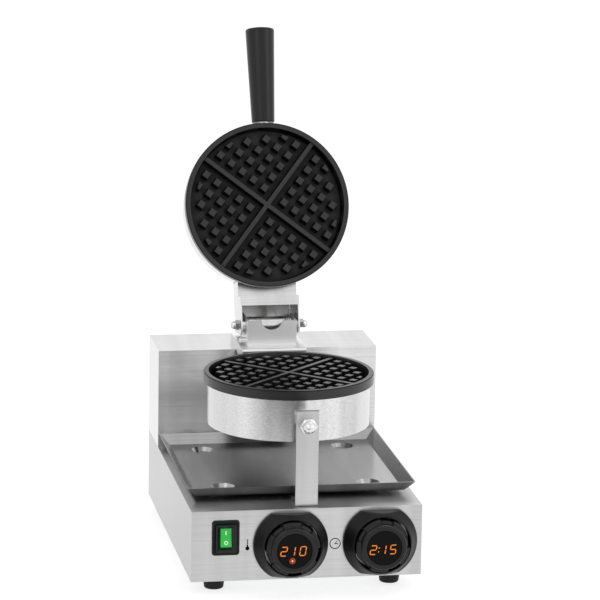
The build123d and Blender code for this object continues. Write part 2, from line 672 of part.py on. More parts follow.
ARM_SCREW_R = 2.0
ARM_SCREWS = side_pairs(ARM_STRAP_WIDTH / 2 - 8, [ARM_REACH - 12, HINGE_REACH - SHELL_R + 22])
SLEEVE_BEHIND = 12.0
SLEEVE_ENTRY = AXLE_FACE + SLEEVE_BEHIND


# Heating ring under a plate: one round tube with two legs for the leads
def heater():
    height = -PLATE_DEPTH - HEATER_TUBE_R - 0.1
    section = Plane.XZ * Pos(HEATER_R, height) * Circle(HEATER_TUBE_R)
    ring = revolve(section, Axis.Z, HEATER_SWEEP)
    low = height - HEATER_LEG - HEATER_TUBE_R
    leg = rod_z(HEATER_R, 0, low, height, HEATER_TUBE_R * 0.7) + rod_z(HEATER_R, 0, low - 6, low, HEATER_TUBE_R * 0.35)
    inset = HEATER_TUBE_R * 80 / HEATER_R
    return Rot(0, 0, -90) * (ring + Rot(0, 0, inset) * leg + Rot(0, 0, HEATER_SWEEP - inset) * leg)


def heater_clamp():
    top = -PLATE_DEPTH - 2 * HEATER_TUBE_R - 0.2
    plate = rod_z(0, 0, top - CLAMP_SHEET, top, CLAMP_R)
    for place in plate_bolt_places():
        plate -= rod_z(*place, top - 5, top + 1, PLATE_BOLT_R)
    inset = HEATER_TUBE_R * 80 / HEATER_R
    for turn in (inset, HEATER_SWEEP - inset):
        plate -= Rot(0, 0, turn - 90) * rod_z(HEATER_R, 0, top - 5, top + 1, HEATER_TUBE_R + 1)
    return plate


def plate_bolts():
    """Bolts from the cast plate down through clamp and shell, with a nut outside."""
    shank_r = PLATE_BOLT_R - SCREW_FIT
    bolt = rod_z(0, 0, -PAN_HEIGHT - 6, -PLATE_DEPTH + 4.8, shank_r)
    nut = Pos(0, 0, -PAN_HEIGHT - 4) * hexagon(8, 4)
    clamp_top = -PLATE_DEPTH - 2 * HEATER_TUBE_R - 0.2 - CLAMP_SHEET
    inner = Pos(0, 0, clamp_top - 4) * hexagon(8, 4)
    return [Pos(x, y, 0) * (bolt + nut + inner) for x, y in plate_bolt_places()]


def temperature_sensor():
    """A probe held flat under the lower plate, between the heater's legs."""
    tube_z = -PLATE_DEPTH - SENSOR_R - 0.1
    probe = rod_x(-SENSOR_LENGTH / 2, SENSOR_LENGTH / 2, 0, tube_z, SENSOR_R)
    tip = Pos(-SENSOR_LENGTH / 2, 0, tube_z) * Sphere(SENSOR_R)
    return LOWER_PLATE * Rot(0, 0, 30) * (probe + tip)


# Fixed bracket on the saddle: front plate with a round notch, side walls with the
# slanted rear edges that the open lid's arm comes to rest against
def hinge_bracket():
    half = BRACKET_WIDTH / 2
    front = AXLE_Y - BRACKET_FRONT
    top = AXLE_Z + BRACKET_RISE
    lean = radians(OPEN_LEAN)
    heel = AXLE_Y + BRACKET_BACK / cos(lean) - (AXLE_Z - SADDLE_TOP_Z) * tan(lean)
    contact_y = AXLE_Y + BRACKET_BACK * cos(lean)
    contact_z = AXLE_Z - BRACKET_BACK * sin(lean)
    inside = BRACKET_BACK - 1.0
    rear_top = AXLE_Y + sqrt(inside * inside - BRACKET_RISE * BRACKET_RISE) - 8
    arc_mid = radians(3)
    side = [
        Line((front, SADDLE_TOP_Z), (front, top)),
        Line((front, top), (rear_top, top)),
        Line((rear_top, top), (AXLE_Y + inside * cos(arc_mid), AXLE_Z - inside * sin(arc_mid))),
        Line((AXLE_Y + inside * cos(arc_mid), AXLE_Z - inside * sin(arc_mid)), (contact_y, contact_z)),
        Line((contact_y, contact_z), (heel, SADDLE_TOP_Z)),
        Line((heel, SADDLE_TOP_Z), (front, SADDLE_TOP_Z)),
    ]
    wall = extrude(Plane.YZ * make_face(side), BRACKET_SHEET)
    bracket = Pos(-half, 0, 0) * wall + Pos(half - BRACKET_SHEET, 0, 0) * wall
    bracket += block((-half, half), (front, front + BRACKET_SHEET), (SADDLE_TOP_Z, top))
    bracket += block((-half, half), (front, heel), (SADDLE_TOP_Z, SADDLE_TOP_Z + BRACKET_SHEET))
    bracket -= rod_y(0, front - 1, front + BRACKET_SHEET + 1, top + NOTCH_LIFT, NOTCH_R)
    bracket -= rod_x(-half - 1, half + 1, AXLE_Y, AXLE_Z, AXLE_R + RUNNING_FIT)
    hole_z = (SADDLE_TOP_Z - 1, SADDLE_TOP_Z + BRACKET_SHEET + 1)
    bracket -= sleeve_hole(*hole_z, 0.6)
    for x, y in BRACKET_SCREWS:
        bracket -= rod_z(x, y, *hole_z, BRACKET_SCREW_R)
    bracket -= rod_x(-half - 1, -half + 4, AXLE_Y + SIDE_SCREW_Y, AXLE_Z + SIDE_SCREW_Z, SIDE_SCREW_R)
    return bracket


SIDE_SCREW_Y = -14.0
SIDE_SCREW_Z = -14.6
SIDE_SCREW_R = 1.5


def bracket_screws():
    piece = screw(3.4, 2.2, BRACKET_SCREW_R - SCREW_FIT, BRACKET_SHEET + SADDLE_SHEET + 3)
    return [Pos(x, y, SADDLE_TOP_Z + BRACKET_SHEET) * piece for x, y in BRACKET_SCREWS]


def bracket_side_screw():
    piece = screw(3.2, 8.6, SIDE_SCREW_R - SCREW_FIT, BRACKET_SHEET + 5)
    place = Pos(-BRACKET_WIDTH / 2, AXLE_Y + SIDE_SCREW_Y, AXLE_Z + SIDE_SCREW_Z)
    return place * Rot(0, -90, 0) * piece


EAR_OUT = ARM_WIDTH / 2
NUT_X = EAR_OUT + SLIDE_GAP


def hinge_axle():
    reach = NUT_X + AXLE_NUT_LENGTH - AXLE_NUT_FLATS * 0.47 - 0.5
    return rod_x(-reach, reach, AXLE_Y, AXLE_Z, AXLE_R)


def axle_cap_nuts():
    nut = cap_nut(AXLE_NUT_FLATS, AXLE_NUT_HEX, AXLE_NUT_LENGTH, AXLE_R + RUNNING_FIT)
    return [Pos(side * NUT_X, AXLE_Y, AXLE_Z) * Rot(0, side * 90, 0) * nut for side in (-1, 1)]


def axle_spacers():
    start = BRACKET_WIDTH / 2
    end = EAR_OUT - ARM_SHEET - SLIDE_GAP
    bush = rod_z(0, 0, start, end, 5.5) - rod_z(0, 0, 0, 60, AXLE_R + RUNNING_FIT)
    return [Pos(0, AXLE_Y, AXLE_Z) * Rot(0, side * 90, 0) * bush for side in (-1, 1)]


def spring_arbor():
    tube = rod_x(-ARBOR_START, ARBOR_END, AXLE_Y, AXLE_Z, ARBOR_R)
    tube -= rod_x(-ARBOR_START - 1, ARBOR_END + 1, AXLE_Y, AXLE_Z, ARBOR_R - ARBOR_WALL)
    for x0, x1 in ((-ARBOR_START, -ARBOR_START + 4), (ARBOR_END - 4, ARBOR_END)):
        end = rod_x(x0, x1, AXLE_Y, AXLE_Z, ARBOR_R - ARBOR_WALL + 0.01)
        tube += end - rod_x(x0 - 1, x1 + 1, AXLE_Y, AXLE_Z, AXLE_R + RUNNING_FIT)
    return tube


# Balance spring on the axle: close turns of one wire with a leg at each end
def balance_spring():
    def point(turns):
        angle = 2 * pi * turns
        x = SPRING_START + SPRING_PITCH * turns
        return Vector(x, SPRING_R * cos(angle), SPRING_R * sin(angle))

    arcs = []
    for quarter in range(4 * SPRING_TURNS):
        a = quarter / 4
        arcs.append(ThreePointArc(point(a), point(a + 0.125), point(a + 0.25)))
    first = point(0)
    last = point(SPRING_TURNS)
    start_leg = Line(first - Vector(0, 0, SPRING_LOW_LEG), first)
    end_leg = Line(last, last + Vector(0, 0, SPRING_HIGH_LEG))
    path = Wire([start_leg.edge()] + [arc.edge() for arc in arcs] + [end_leg.edge()])
    section = Plane(path @ 0, z_dir=path % 0) * Circle(SPRING_WIRE_R)
    wire = sweep(section, path)
    gap = SPRING_PITCH - 2 * SPRING_WIRE_R
    print(f"balance spring: gap between turns {gap:.2f} mm")
    return Pos(0, AXLE_Y, AXLE_Z) * wire


SPRING_START = ARBOR_END + 1.4


# Fibreglass sleeve with the upper heater's leads: from the saddle up into the arm
def lead_sleeve():
    lean = radians(OPEN_LEAN)

    def arm_point(along, out):
        return (along * sin(lean) - out * cos(lean), along * cos(lean) + out * sin(lean))

    inside = TOWER_TOP_Z + (SADDLE_HEIGHT - SADDLE_SHEET) / 2 - AXLE_Z
    low = TOWER_TOP_Z - AXLE_Z - 12
    route = [(SLEEVE_BACK, low), (SLEEVE_BACK, inside), (SLEEVE_DOWN, inside), (SLEEVE_DOWN, 14.0)]
    route += [arm_point(22, -SLEEVE_BEHIND), arm_point(52, -SLEEVE_BEHIND)]
    points = [(SLEEVE_X, AXLE_Y + y, AXLE_Z + z) for y, z in route]
    path = FilletPolyline(*points, radius=6)
    section = Plane(path @ 0, z_dir=path % 0, x_dir=(1, 0, 0)) * SlotOverall(SLEEVE_WIDTH, SLEEVE_THICK)
    return sweep(section, path)


# Lid arm: a channel from the hinge ears to the shell, its web on along the lid's back
def lid_arm():
    half = EAR_OUT
    shell_bottom = HINGE_REACH - SHELL_R
    inner = half - ARM_SHEET
    flange_end = HINGE_REACH - sqrt(SHELL_R * SHELL_R - inner * inner) - PART_GAP
    front = -EAR_FRONT
    seat = front + ARM_SHEET
    back = ARM_WEB + ARM_SHEET
    toe_y = -EAR_FRONT
    toe_z = -sqrt(EAR_TAIL_R * EAR_TAIL_R - EAR_FRONT * EAR_FRONT)
    heel_angle = radians(70)
    heel = (EAR_TAIL_R * cos(heel_angle), -EAR_TAIL_R * sin(heel_angle))
    middle_angle = radians(-100)
    middle = (EAR_TAIL_R * cos(middle_angle), EAR_TAIL_R * sin(middle_angle))
    outline = [
        Line((front, COVER_LIP_LOW), (toe_y, toe_z)),
        ThreePointArc((toe_y, toe_z), middle, heel),
        Line(heel, (back, -ARM_TAIL)),
        Line((back, -ARM_TAIL), (back, flange_end)),
        Line((back, flange_end), (seat + COVER_STEP, flange_end)),
        Line((seat + COVER_STEP, flange_end), (seat + COVER_STEP, COVER_LIP_HIGH - ARM_SHEET)),
        Line((seat + COVER_STEP, COVER_LIP_HIGH - ARM_SHEET), (seat, COVER_LIP_HIGH - ARM_SHEET)),
        Line((seat, COVER_LIP_HIGH - ARM_SHEET), (seat, COVER_LIP_LOW)),
        Line((seat, COVER_LIP_LOW), (front, COVER_LIP_LOW)),
    ]
    flange = extrude(Plane.YZ * make_face(outline), ARM_SHEET)
    flange -= rod_x(-5, 5, 0, 0, AXLE_R + RUNNING_FIT)
    arm = Pos(-half, 0, 0) * flange + Pos(half - ARM_SHEET, 0, 0) * flange
    arm += block((-half, half), (ARM_WEB, back), (-ARM_TAIL, shell_bottom + 14))
    strap = block((-ARM_STRAP_WIDTH / 2, ARM_STRAP_WIDTH / 2), (ARM_WEB, back), (shell_bottom, ARM_REACH))
    arm += fillet(strap.edges().filter_by(Axis.Y).group_by(Axis.Z)[-1], 8)
    for x, z in ARM_SCREWS:
        arm -= rod_y(x, ARM_WEB - 1, back + 1, z, ARM_SCREW_R)
    for x, y in plate_bolt_places():
        arm -= rod_y(x, ARM_WEB - 1, back + 1, HINGE_REACH + y, 6)
    return LID * arm


# Cover of the arm's open side, stepped forward into a lip above the axle
def arm_cover():
    half = EAR_OUT
    front = -EAR_FRONT
    seat = front + COVER_STEP
    end = HINGE_REACH - sqrt(SHELL_R * SHELL_R - half * half) + 6
    outline = [
        (front, COVER_LIP_LOW), (front, COVER_LIP_HIGH), (seat, COVER_LIP_HIGH), (seat, end),
        (seat + ARM_SHEET, end), (seat + ARM_SHEET, COVER_LIP_HIGH - ARM_SHEET),
        (front + ARM_SHEET, COVER_LIP_HIGH - ARM_SHEET), (front + ARM_SHEET, COVER_LIP_LOW),
    ]
    cover = extrude(Plane.YZ * make_face(Polyline(*outline, close=True)), half, both=True)
    cover -= Pos(0, 0, HINGE_REACH) * Rot(90, 0, 0) * extrude(Circle(SHELL_R + 0.05), 80, both=True)
    return LID * cover


def arm_screws():
    piece = screw(3.8, 2.4, ARM_SCREW_R - SCREW_FIT, ARM_SHEET + SHELL_SHEET + 4)
    return [LID * Pos(x, ARM_WEB + ARM_SHEET, z) * TO_BACK * piece for x, z in ARM_SCREWS]


# Handle: a tapered moulded grip on a steel stud
HANDLE_BASE_Z = HINGE_REACH + RIM_R + HANDLE_GAP
HANDLE_Y = HANDLE_AXIS_DEPTH - AXLE_FACE


def handle_grip():
    """Tapered round grip, its end slightly domed with a soft edge."""
    slope = (HANDLE_TIP_R - HANDLE_BASE_R) / HANDLE_LENGTH
    shoulder = HANDLE_LENGTH - HANDLE_DOME - HANDLE_EDGE
    edge_r = HANDLE_BASE_R + slope * shoulder
    outline = [
        Polyline((0, 0), (HANDLE_BASE_R - 0.8, 0), (HANDLE_BASE_R, 0.8), (edge_r, shoulder)),
        Line((edge_r, shoulder), (edge_r - 0.25 * HANDLE_EDGE, shoulder + 0.65 * HANDLE_EDGE)),
        Line(
            (edge_r - 0.25 * HANDLE_EDGE, shoulder + 0.65 * HANDLE_EDGE),
            (edge_r - HANDLE_EDGE, shoulder + HANDLE_EDGE),
        ),
        Line((edge_r - HANDLE_EDGE, shoulder + HANDLE_EDGE), (edge_r / 2, HANDLE_LENGTH - HANDLE_DOME / 4)),
        Line((edge_r / 2, HANDLE_LENGTH - HANDLE_DOME / 4), (0, HANDLE_LENGTH)),
        Line((0, HANDLE_LENGTH), (0, 0)),
    ]
    grip = revolve(Plane.XZ * make_face(outline), Axis.Z)
    grip -= rod_z(0, 0, -1, HANDLE_STUD_IN_GRIP, HANDLE_STUD_R + RUNNING_FIT)
    return LID * Pos(0, HANDLE_Y, HANDLE_BASE_Z) * grip


def handle_stud():
    """Stud from the plate's rim up into the grip, with the collar between them."""
    rim = HINGE_REACH + RIM_R
    rod = rod_z(0, HANDLE_Y, rim - HANDLE_STUD_IN_PLATE + 0.4, HANDLE_BASE_Z + HANDLE_STUD_IN_GRIP - 1, HANDLE_STUD_R)
    return LID * (rod + rod_z(0, HANDLE_Y, rim + RUNNING_FIT, HANDLE_BASE_Z, HANDLE_COLLAR_R))


# Drip tray: thin sheet with flared, mitred walls and four pressed feet
def drip_tray():
    depth = TRAY_BACK - TRAY_FRONT
    middle = (TRAY_BACK + TRAY_FRONT) / 2
    flare = TRAY_FLARE
    floor_top = DECK_Z + TRAY_FLOOR
    rim = DECK_Z + TRAY_RIM
    wall = TRAY_SHEET * sqrt(2)

    def frustum(shrink, low, high):
        foot = Rectangle(TRAY_WIDTH - 2 * flare - 2 * shrink, depth - 2 * flare - 2 * shrink)
        mouth = Rectangle(TRAY_WIDTH - 2 * shrink, depth - 2 * shrink)
        return Pos(0, middle, 0) * loft([Pos(0, 0, low) * foot, Pos(0, 0, high) * mouth])

    outer = frustum(0, floor_top - TRAY_SHEET, rim)
    inner = frustum(wall, floor_top, rim + 0.001)
    tray = outer - inner
    foot_low = DECK_Z + SLIDE_GAP
    drop = floor_top - foot_low
    for x, y in side_pairs(TRAY_FOOT_X, [TRAY_FOOT_FRONT, TRAY_FOOT_REAR]):
        low_r = TRAY_FOOT_R - TRAY_FOOT_FLARE
        cup = Pos(x, y, foot_low + drop / 2) * Cone(low_r, TRAY_FOOT_R, drop)
        bowl_r = low_r - TRAY_SHEET
        bowl = Pos(x, y, foot_low + TRAY_SHEET + drop / 2) * Cone(bowl_r, TRAY_FOOT_R - TRAY_SHEET, drop)
        tray = tray + cup - bowl
    return tray


# One control unit on the front panel, drawn along Z from the panel outward
def control_place(name):
    return Pos(CONTROL_X[name], 0, BASE_Z + CONTROL_ABOVE_BASE) * TO_FRONT


def control_bezel():
    """Dished ring around the knob, flat above and below."""
    outline = [
        (BEZEL_BORE_R, 0), (BEZEL_R, 0), (BEZEL_R, BEZEL_RISE - 4), (BEZEL_R - 1.2, BEZEL_RISE - 1.4),
        (BEZEL_R - 3, BEZEL_RISE - 0.3), (BEZEL_R - 4.5, BEZEL_RISE - 0.4),
        (BEZEL_BORE_R, BEZEL_SEAT),
    ]
    ring = turned(outline)
    return ring & Box(3 * BEZEL_R, 2 * BEZEL_FLAT, 4 * BEZEL_RISE)


def control_knob():
    """Ring knob with five swept finger steps around its skirt."""
    arcs = []
    step = 2 * pi / KNOB_TEETH
    sweep_angle = step * 0.93
    for tooth in range(KNOB_TEETH):
        start = tooth * step + pi / 2
        middle_r = (KNOB_STEP_R + KNOB_TOOTH_R) / 2 + 0.5
        ends = [
            (KNOB_STEP_R * cos(start), KNOB_STEP_R * sin(start)),
            (middle_r * cos(start + sweep_angle / 2), middle_r * sin(start + sweep_angle / 2)),
            (KNOB_TOOTH_R * cos(start + sweep_angle), KNOB_TOOTH_R * sin(start + sweep_angle)),
        ]
        after = start + step
        arcs.append(ThreePointArc(*ends))
        arcs.append(Line(ends[2], (KNOB_STEP_R * cos(after), KNOB_STEP_R * sin(after))))
    skirt = Pos(0, 0, KNOB_GAP) * extrude(make_face(arcs), KNOB_SKIRT - KNOB_GAP)
    dome = turned([
        (0, 0), (KNOB_TOOTH_R + 1, 0), (KNOB_TOOTH_R + 1, KNOB_SKIRT - 6),
        (KNOB_BARREL_R, KNOB_SKIRT), (0, KNOB_SKIRT),
    ])
    barrel = turned([
        (0, KNOB_GAP), (KNOB_BARREL_R, KNOB_GAP), (KNOB_BARREL_R, KNOB_SKIRT + 2),
        (KNOB_RING_R, KNOB_RISE - 1.5), (KNOB_RING_R - 1.2, KNOB_RISE), (0, KNOB_RISE),
    ])
    knob = (skirt & dome) + barrel
    web_top = KNOB_GAP + KNOB_WEB
    knob -= rod_z(0, 0, web_top, KNOB_RISE + 1, CORE_R + PART_GAP)
    knob -= rod_z(0, 0, 0, web_top + 1, STEM_R + RUNNING_FIT)
    mouth = turned([
        (0, KNOB_RISE - 1), (CORE_R + PART_GAP, KNOB_RISE - 1), (CORE_R + PART_GAP + 1.2, KNOB_RISE + 0.2),
        (0, KNOB_RISE + 0.2),
    ])
    return knob - mouth


def control_core():
    """Display carrier in the knob, with the stem that is pressed into the encoder."""
    head_low = KNOB_GAP + KNOB_WEB + PART_GAP
    head_top = KNOB_RISE - WINDOW_DROP - WINDOW_SHEET
    return rod_z(0, 0, head_low, head_top, CORE_R) + rod_z(0, 0, -STEM_LENGTH, head_low + 1, STEM_R)


def control_window():
    """Smoked window over the display."""
    top = KNOB_RISE - WINDOW_DROP
    return rod_z(0, 0, top - WINDOW_SHEET, top, CORE_R)


def control_encoder():
    """Switch and encoder body behind the panel, with the stem's bore."""
    half = ENCODER_SIZE / 2
    body = block((-half, half), (-half, half), (-SHEET - ENCODER_DEPTH, -SHEET))
    body = chamfer(body.edges().filter_by(Axis.Z), 5)
    board = block((-half - 4, half + 4), (-half + 2, half - 2), (-SHEET - ENCODER_DEPTH - 1.6, -SHEET - ENCODER_DEPTH))
    bore = rod_z(0, 0, -STEM_LENGTH - PRESS_TRAVEL - 1, 0, STEM_R + RUNNING_FIT)
    return body - bore + board


# Power switch: gasket frame, snap-in body and the lit rocker
def switch_place():
    return Pos(SWITCH_X, 0, BASE_Z + SWITCH_ABOVE_BASE) * TO_FRONT


def switch_gasket():
    outer = extrude(RectangleRounded(SWITCH_WIDTH, SWITCH_HEIGHT, 3.5), SWITCH_GASKET_RISE, taper=18)
    hole_w = SWITCH_FRAME_WIDTH + 2 * RUNNING_FIT
    hole = extrude(RectangleRounded(hole_w, SWITCH_FRAME_HEIGHT + 2 * RUNNING_FIT, 3), 3 * SWITCH_GASKET_RISE, both=True)
    return switch_place() * (outer - hole)


def switch_body():
    rim = extrude(RectangleRounded(SWITCH_FRAME_WIDTH, SWITCH_FRAME_HEIGHT, 3), SWITCH_FRAME_RISE, taper=8)
    slope = turned_frame(SWITCH_FRAME_RISE)
    back = block(
        (-SWITCH_FRAME_WIDTH / 2 + 1.2, SWITCH_FRAME_WIDTH / 2 - 1.2),
        (-SWITCH_FRAME_HEIGHT / 2 + 1.2, SWITCH_FRAME_HEIGHT / 2 - 1.2),
        (-20, 0.1),
    )
    well_w = ROCKER_WIDTH / 2 + PART_GAP
    well_h = ROCKER_HEIGHT / 2 + 4 * PART_GAP
    well = block((-well_w, well_w), (-well_h, well_h), (-12, 10))
    pin = rod_x(-well_w - 2, well_w + 2, 0, -ROCKER_PIVOT_IN, ROCKER_PIN_R + RUNNING_FIT)
    return switch_place() * (rim + back - slope - well - pin)


def turned_frame(top):
    """The sunk mouth of the switch frame, sloping down to the rocker."""
    mouth = Rectangle(SWITCH_FRAME_WIDTH - 5, SWITCH_FRAME_HEIGHT - 5)
    throat = Rectangle(ROCKER_WIDTH + 2, ROCKER_HEIGHT + 3)
    return loft([Pos(0, 0, top - 2) * throat, Pos(0, 0, top + 0.01) * mouth])


def switch_rocker():
    half = ROCKER_HEIGHT / 2
    edge = SWITCH_FRAME_RISE - 1.6
    side = [
        Line((-half, edge), (-half + 2, -8)),
        Line((-half + 2, -8), (half - 2, -8)),
        Line((half - 2, -8), (half, edge)),
        ThreePointArc((half, edge), (0, edge - 1.3), (-half, edge)),
    ]
    rocker = extrude(Plane.YZ * make_face(side), ROCKER_WIDTH / 2, both=True)
    pins = rod_x(-ROCKER_WIDTH / 2 - 1.5, ROCKER_WIDTH / 2 + 1.5, 0, -ROCKER_PIVOT_IN, ROCKER_PIN_R)
    pivot = Pos(0, 0, -ROCKER_PIVOT_IN)
    tilt = pivot * Rot(-ROCKER_TILT, 0, 0) * Pos(0, 0, ROCKER_PIVOT_IN)
    return switch_place() * tilt * (rocker + pins)


# Inside the base: power board, terminal block and safety cut-out
def power_board():
    middle = Pos(35, 215, BASE_Z + 2 * SHEET + 8)
    board = Box(130, 90, 1.6)
    parts = board + block((-55, -15), (-35, 5), (0.8, 32)) + block((5, 33), (-38, -8), (0.8, 22))
    parts += block((-50, 20), (15, 35), (0.8, 28)) + block((42, 58), (-35, 35), (0.8, 12))
    for x, y in side_pairs(60, [-40, 40]):
        parts += rod_z(x, y, -8 - SHEET, -0.7, 4)
    return middle * parts


def terminal_block():
    body = block((-24, 24), (-11, 11), (0, 18)) + block((-30, 30), (-7, 7), (0, 4))
    for number in range(5):
        body -= rod_z((number - 2) * 9.2, 0, 6, 20, 2.2)
    return Pos(-80, 290, BASE_Z + SHEET) * body


def safety_cutout():
    body = block((-15, 15), (-18, 18), (-32, 0)) + rod_z(0, 0, -40, -30, 6)
    return Pos(80, BODY_DEPTH - 40, DECK_Z - SHEET) * body


NODES = {
    "base_housing": base_housing,
    "bottom_plate": bottom_plate,
    "rubber_feet": rubber_feet,
    "foot_screws": foot_screws,
    "tower_housing": tower_housing,
    "rear_panel": rear_panel,
    "panel_screws": panel_screws,
    "cable_gland": cable_gland,
    "gland_cap": gland_cap,
    "front_post": front_post,
    "post_screws": post_screws,
    "post_stud": post_stud,
    "post_cap_nut": post_cap_nut,
    "post_lock_nuts": post_lock_nuts,
    "pan_saddle": pan_saddle,
    "saddle_screws": saddle_screws,
    "pan_bushes": pan_bushes,
    "pan_screws": pan_screws,
    "lower_shell": lower_shell,
    "lower_waffle_plate": lower_waffle_plate,
    "lower_heater": lambda: LOWER_PLATE * heater(),
    "lower_heater_clamp": lambda: LOWER_PLATE * heater_clamp(),
    "lower_plate_bolts": lambda: [LOWER_PLATE * bolt for bolt in plate_bolts()],
    "temperature_sensor": temperature_sensor,
    "hinge_bracket": hinge_bracket,
    "bracket_screws": bracket_screws,
    "bracket_side_screw": bracket_side_screw,
    "hinge_axle": hinge_axle,
    "axle_cap_nuts": axle_cap_nuts,
    "axle_spacers": axle_spacers,
    "spring_arbor": spring_arbor,
    "balance_spring": balance_spring,
    "lead_sleeve": lead_sleeve,
    "lid_shell": lid_shell,
    "upper_waffle_plate": upper_waffle_plate,
    "upper_heater": lambda: UPPER_PLATE * heater(),
    "upper_heater_clamp": lambda: UPPER_PLATE * heater_clamp(),
    "upper_plate_bolts": lambda: [UPPER_PLATE * bolt for bolt in plate_bolts()],
    "lid_arm": lid_arm,
    "arm_cover": arm_cover,
    "arm_screws": arm_screws,
    "handle_stud": handle_stud,
    "handle_grip": handle_grip,
    "drip_tray": drip_tray,
    "switch_gasket": switch_gasket,
    "switch_body": switch_body,
    "switch_rocker": switch_rocker,
    "power_board": power_board,
    "terminal_block": terminal_block,
    "safety_cutout": safety_cutout,
}
for control in CONTROL_X:
    NODES[f"{control}_bezel"] = lambda name=control: control_place(name) * control_bezel()
    NODES[f"{control}_knob"] = lambda name=control: control_place(name) * control_knob()
    NODES[f"{control}_core"] = lambda name=control: control_place(name) * control_core()
    NODES[f"{control}_window"] = lambda name=control: control_place(name) * control_window()
    NODES[f"{control}_encoder"] = lambda name=control: control_place(name) * control_encoder()

solids = {}
for node, build in NODES.items():
    made = build()
    solids[node] = Compound(children=made) if isinstance(made, list) else made

boxes = [solid.bounding_box() for solid in solids.values()]
front = min(box.min.Y for box in boxes)
back = max(box.max.Y for box in boxes)
MIDDLE_Y = (front + back) / 2
os.makedirs("parts", exist_ok=True)
for node, solid in solids.items():
    export_step(Pos(0, -MIDDLE_Y, 0) * solid, f"parts/{node}.step")
print(f"front {front:.3f}, back {back:.3f}, moved by {-MIDDLE_Y:.3f} mm along Y")
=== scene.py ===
"""Photograph-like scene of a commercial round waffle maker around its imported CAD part."""

import json
import logging
import math
from dataclasses import dataclass
from enum import Enum
from typing import Sequence

import bmesh
import bpy
from mathutils import Matrix, Vector


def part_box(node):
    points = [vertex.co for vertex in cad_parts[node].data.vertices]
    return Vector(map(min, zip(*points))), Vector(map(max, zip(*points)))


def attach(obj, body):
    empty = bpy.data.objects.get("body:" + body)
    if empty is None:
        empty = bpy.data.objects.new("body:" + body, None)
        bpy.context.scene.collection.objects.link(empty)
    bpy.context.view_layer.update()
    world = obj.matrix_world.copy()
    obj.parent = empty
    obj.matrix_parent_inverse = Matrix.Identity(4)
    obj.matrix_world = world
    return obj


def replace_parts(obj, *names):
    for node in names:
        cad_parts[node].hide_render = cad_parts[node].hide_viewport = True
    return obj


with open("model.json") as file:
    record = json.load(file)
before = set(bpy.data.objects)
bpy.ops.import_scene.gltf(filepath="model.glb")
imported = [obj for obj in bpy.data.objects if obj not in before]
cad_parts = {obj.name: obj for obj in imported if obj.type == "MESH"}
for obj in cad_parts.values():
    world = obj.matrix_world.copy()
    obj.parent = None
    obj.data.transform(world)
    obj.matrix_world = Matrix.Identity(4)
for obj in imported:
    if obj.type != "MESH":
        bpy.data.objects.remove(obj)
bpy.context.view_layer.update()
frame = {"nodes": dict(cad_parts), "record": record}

logging.basicConfig(level=logging.INFO, format="%(levelname)s %(message)s")
LOG = logging.getLogger("scene")

MM = 0.001

# The front panel's lower left corner. Machine millimetres count back from it, and up from the floor.
PANEL_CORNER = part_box("base_housing")[0] / MM
MIDDLE_Y = -PANEL_CORNER.y
BASE_Z = PANEL_CORNER.z

# The dials' axis over the panel's lower edge, and the displays' face, which stands before the panel.
DIAL_HEIGHT = 38.75
DISPLAY_FACE = -27.6

# Thickness of a printed sign on the panel, and of the figures over the display's window.
PRINT_LAYER = (0.0, 0.05)
FIGURE_LAYER = (0.03, 0.08)

Point = tuple[float, float, float]
Spot = tuple[float, float]
Span = tuple[float, float]


class Slot(Enum):
    """Material slots of the record."""

    BRUSHED = "brushed_steel"
    BRIGHT = "bright_steel"
    ZINC = "zinc_steel"
    CAST = "cast_plate"
    BLACK = "black_plastic"
    SATIN = "satin_plastic"
    WINDOW = "smoked_window"
    ROCKER = "rocker_green"
    RUBBER = "rubber"
    SLEEVE = "sleeve_white"
    ALUMINIUM = "aluminium"
    BOARD = "board_green"
    PALE = "pale_plastic"


class Grain(Enum):
    """How a surface's fine texture runs."""

    NONE = "none"
    ALONG_X = "along_x"
    ALONG_Z = "along_z"
    CAST = "cast"
    BRAID = "braid"


@dataclass(frozen=True)
class Finish:
    """One surface finish.

    Args:
        color: linear base colour.
        metallic: share of metal.
        roughness: surface roughness.
        grain: fine texture's direction.
        strength: bump strength of that texture.
        bands: how much the metal's tone varies in soft bands.
        hollow_shade_depth: depth in metres over which hollows get painted shade, a darker colour and less
            gloss, or 0.
        specular: level of the plain gloss.
        glow: emitted colour, or None.
        glow_strength: emission strength.
    """

    color: Point
    metallic: float = 0.0
    roughness: float = 0.4
    grain: Grain = Grain.NONE
    strength: float = 0.0
    bands: float = 0.0
    hollow_shade_depth: float = 0.0
    specular: float = 0.5
    glow: Point | None = None
    glow_strength: float = 1.0


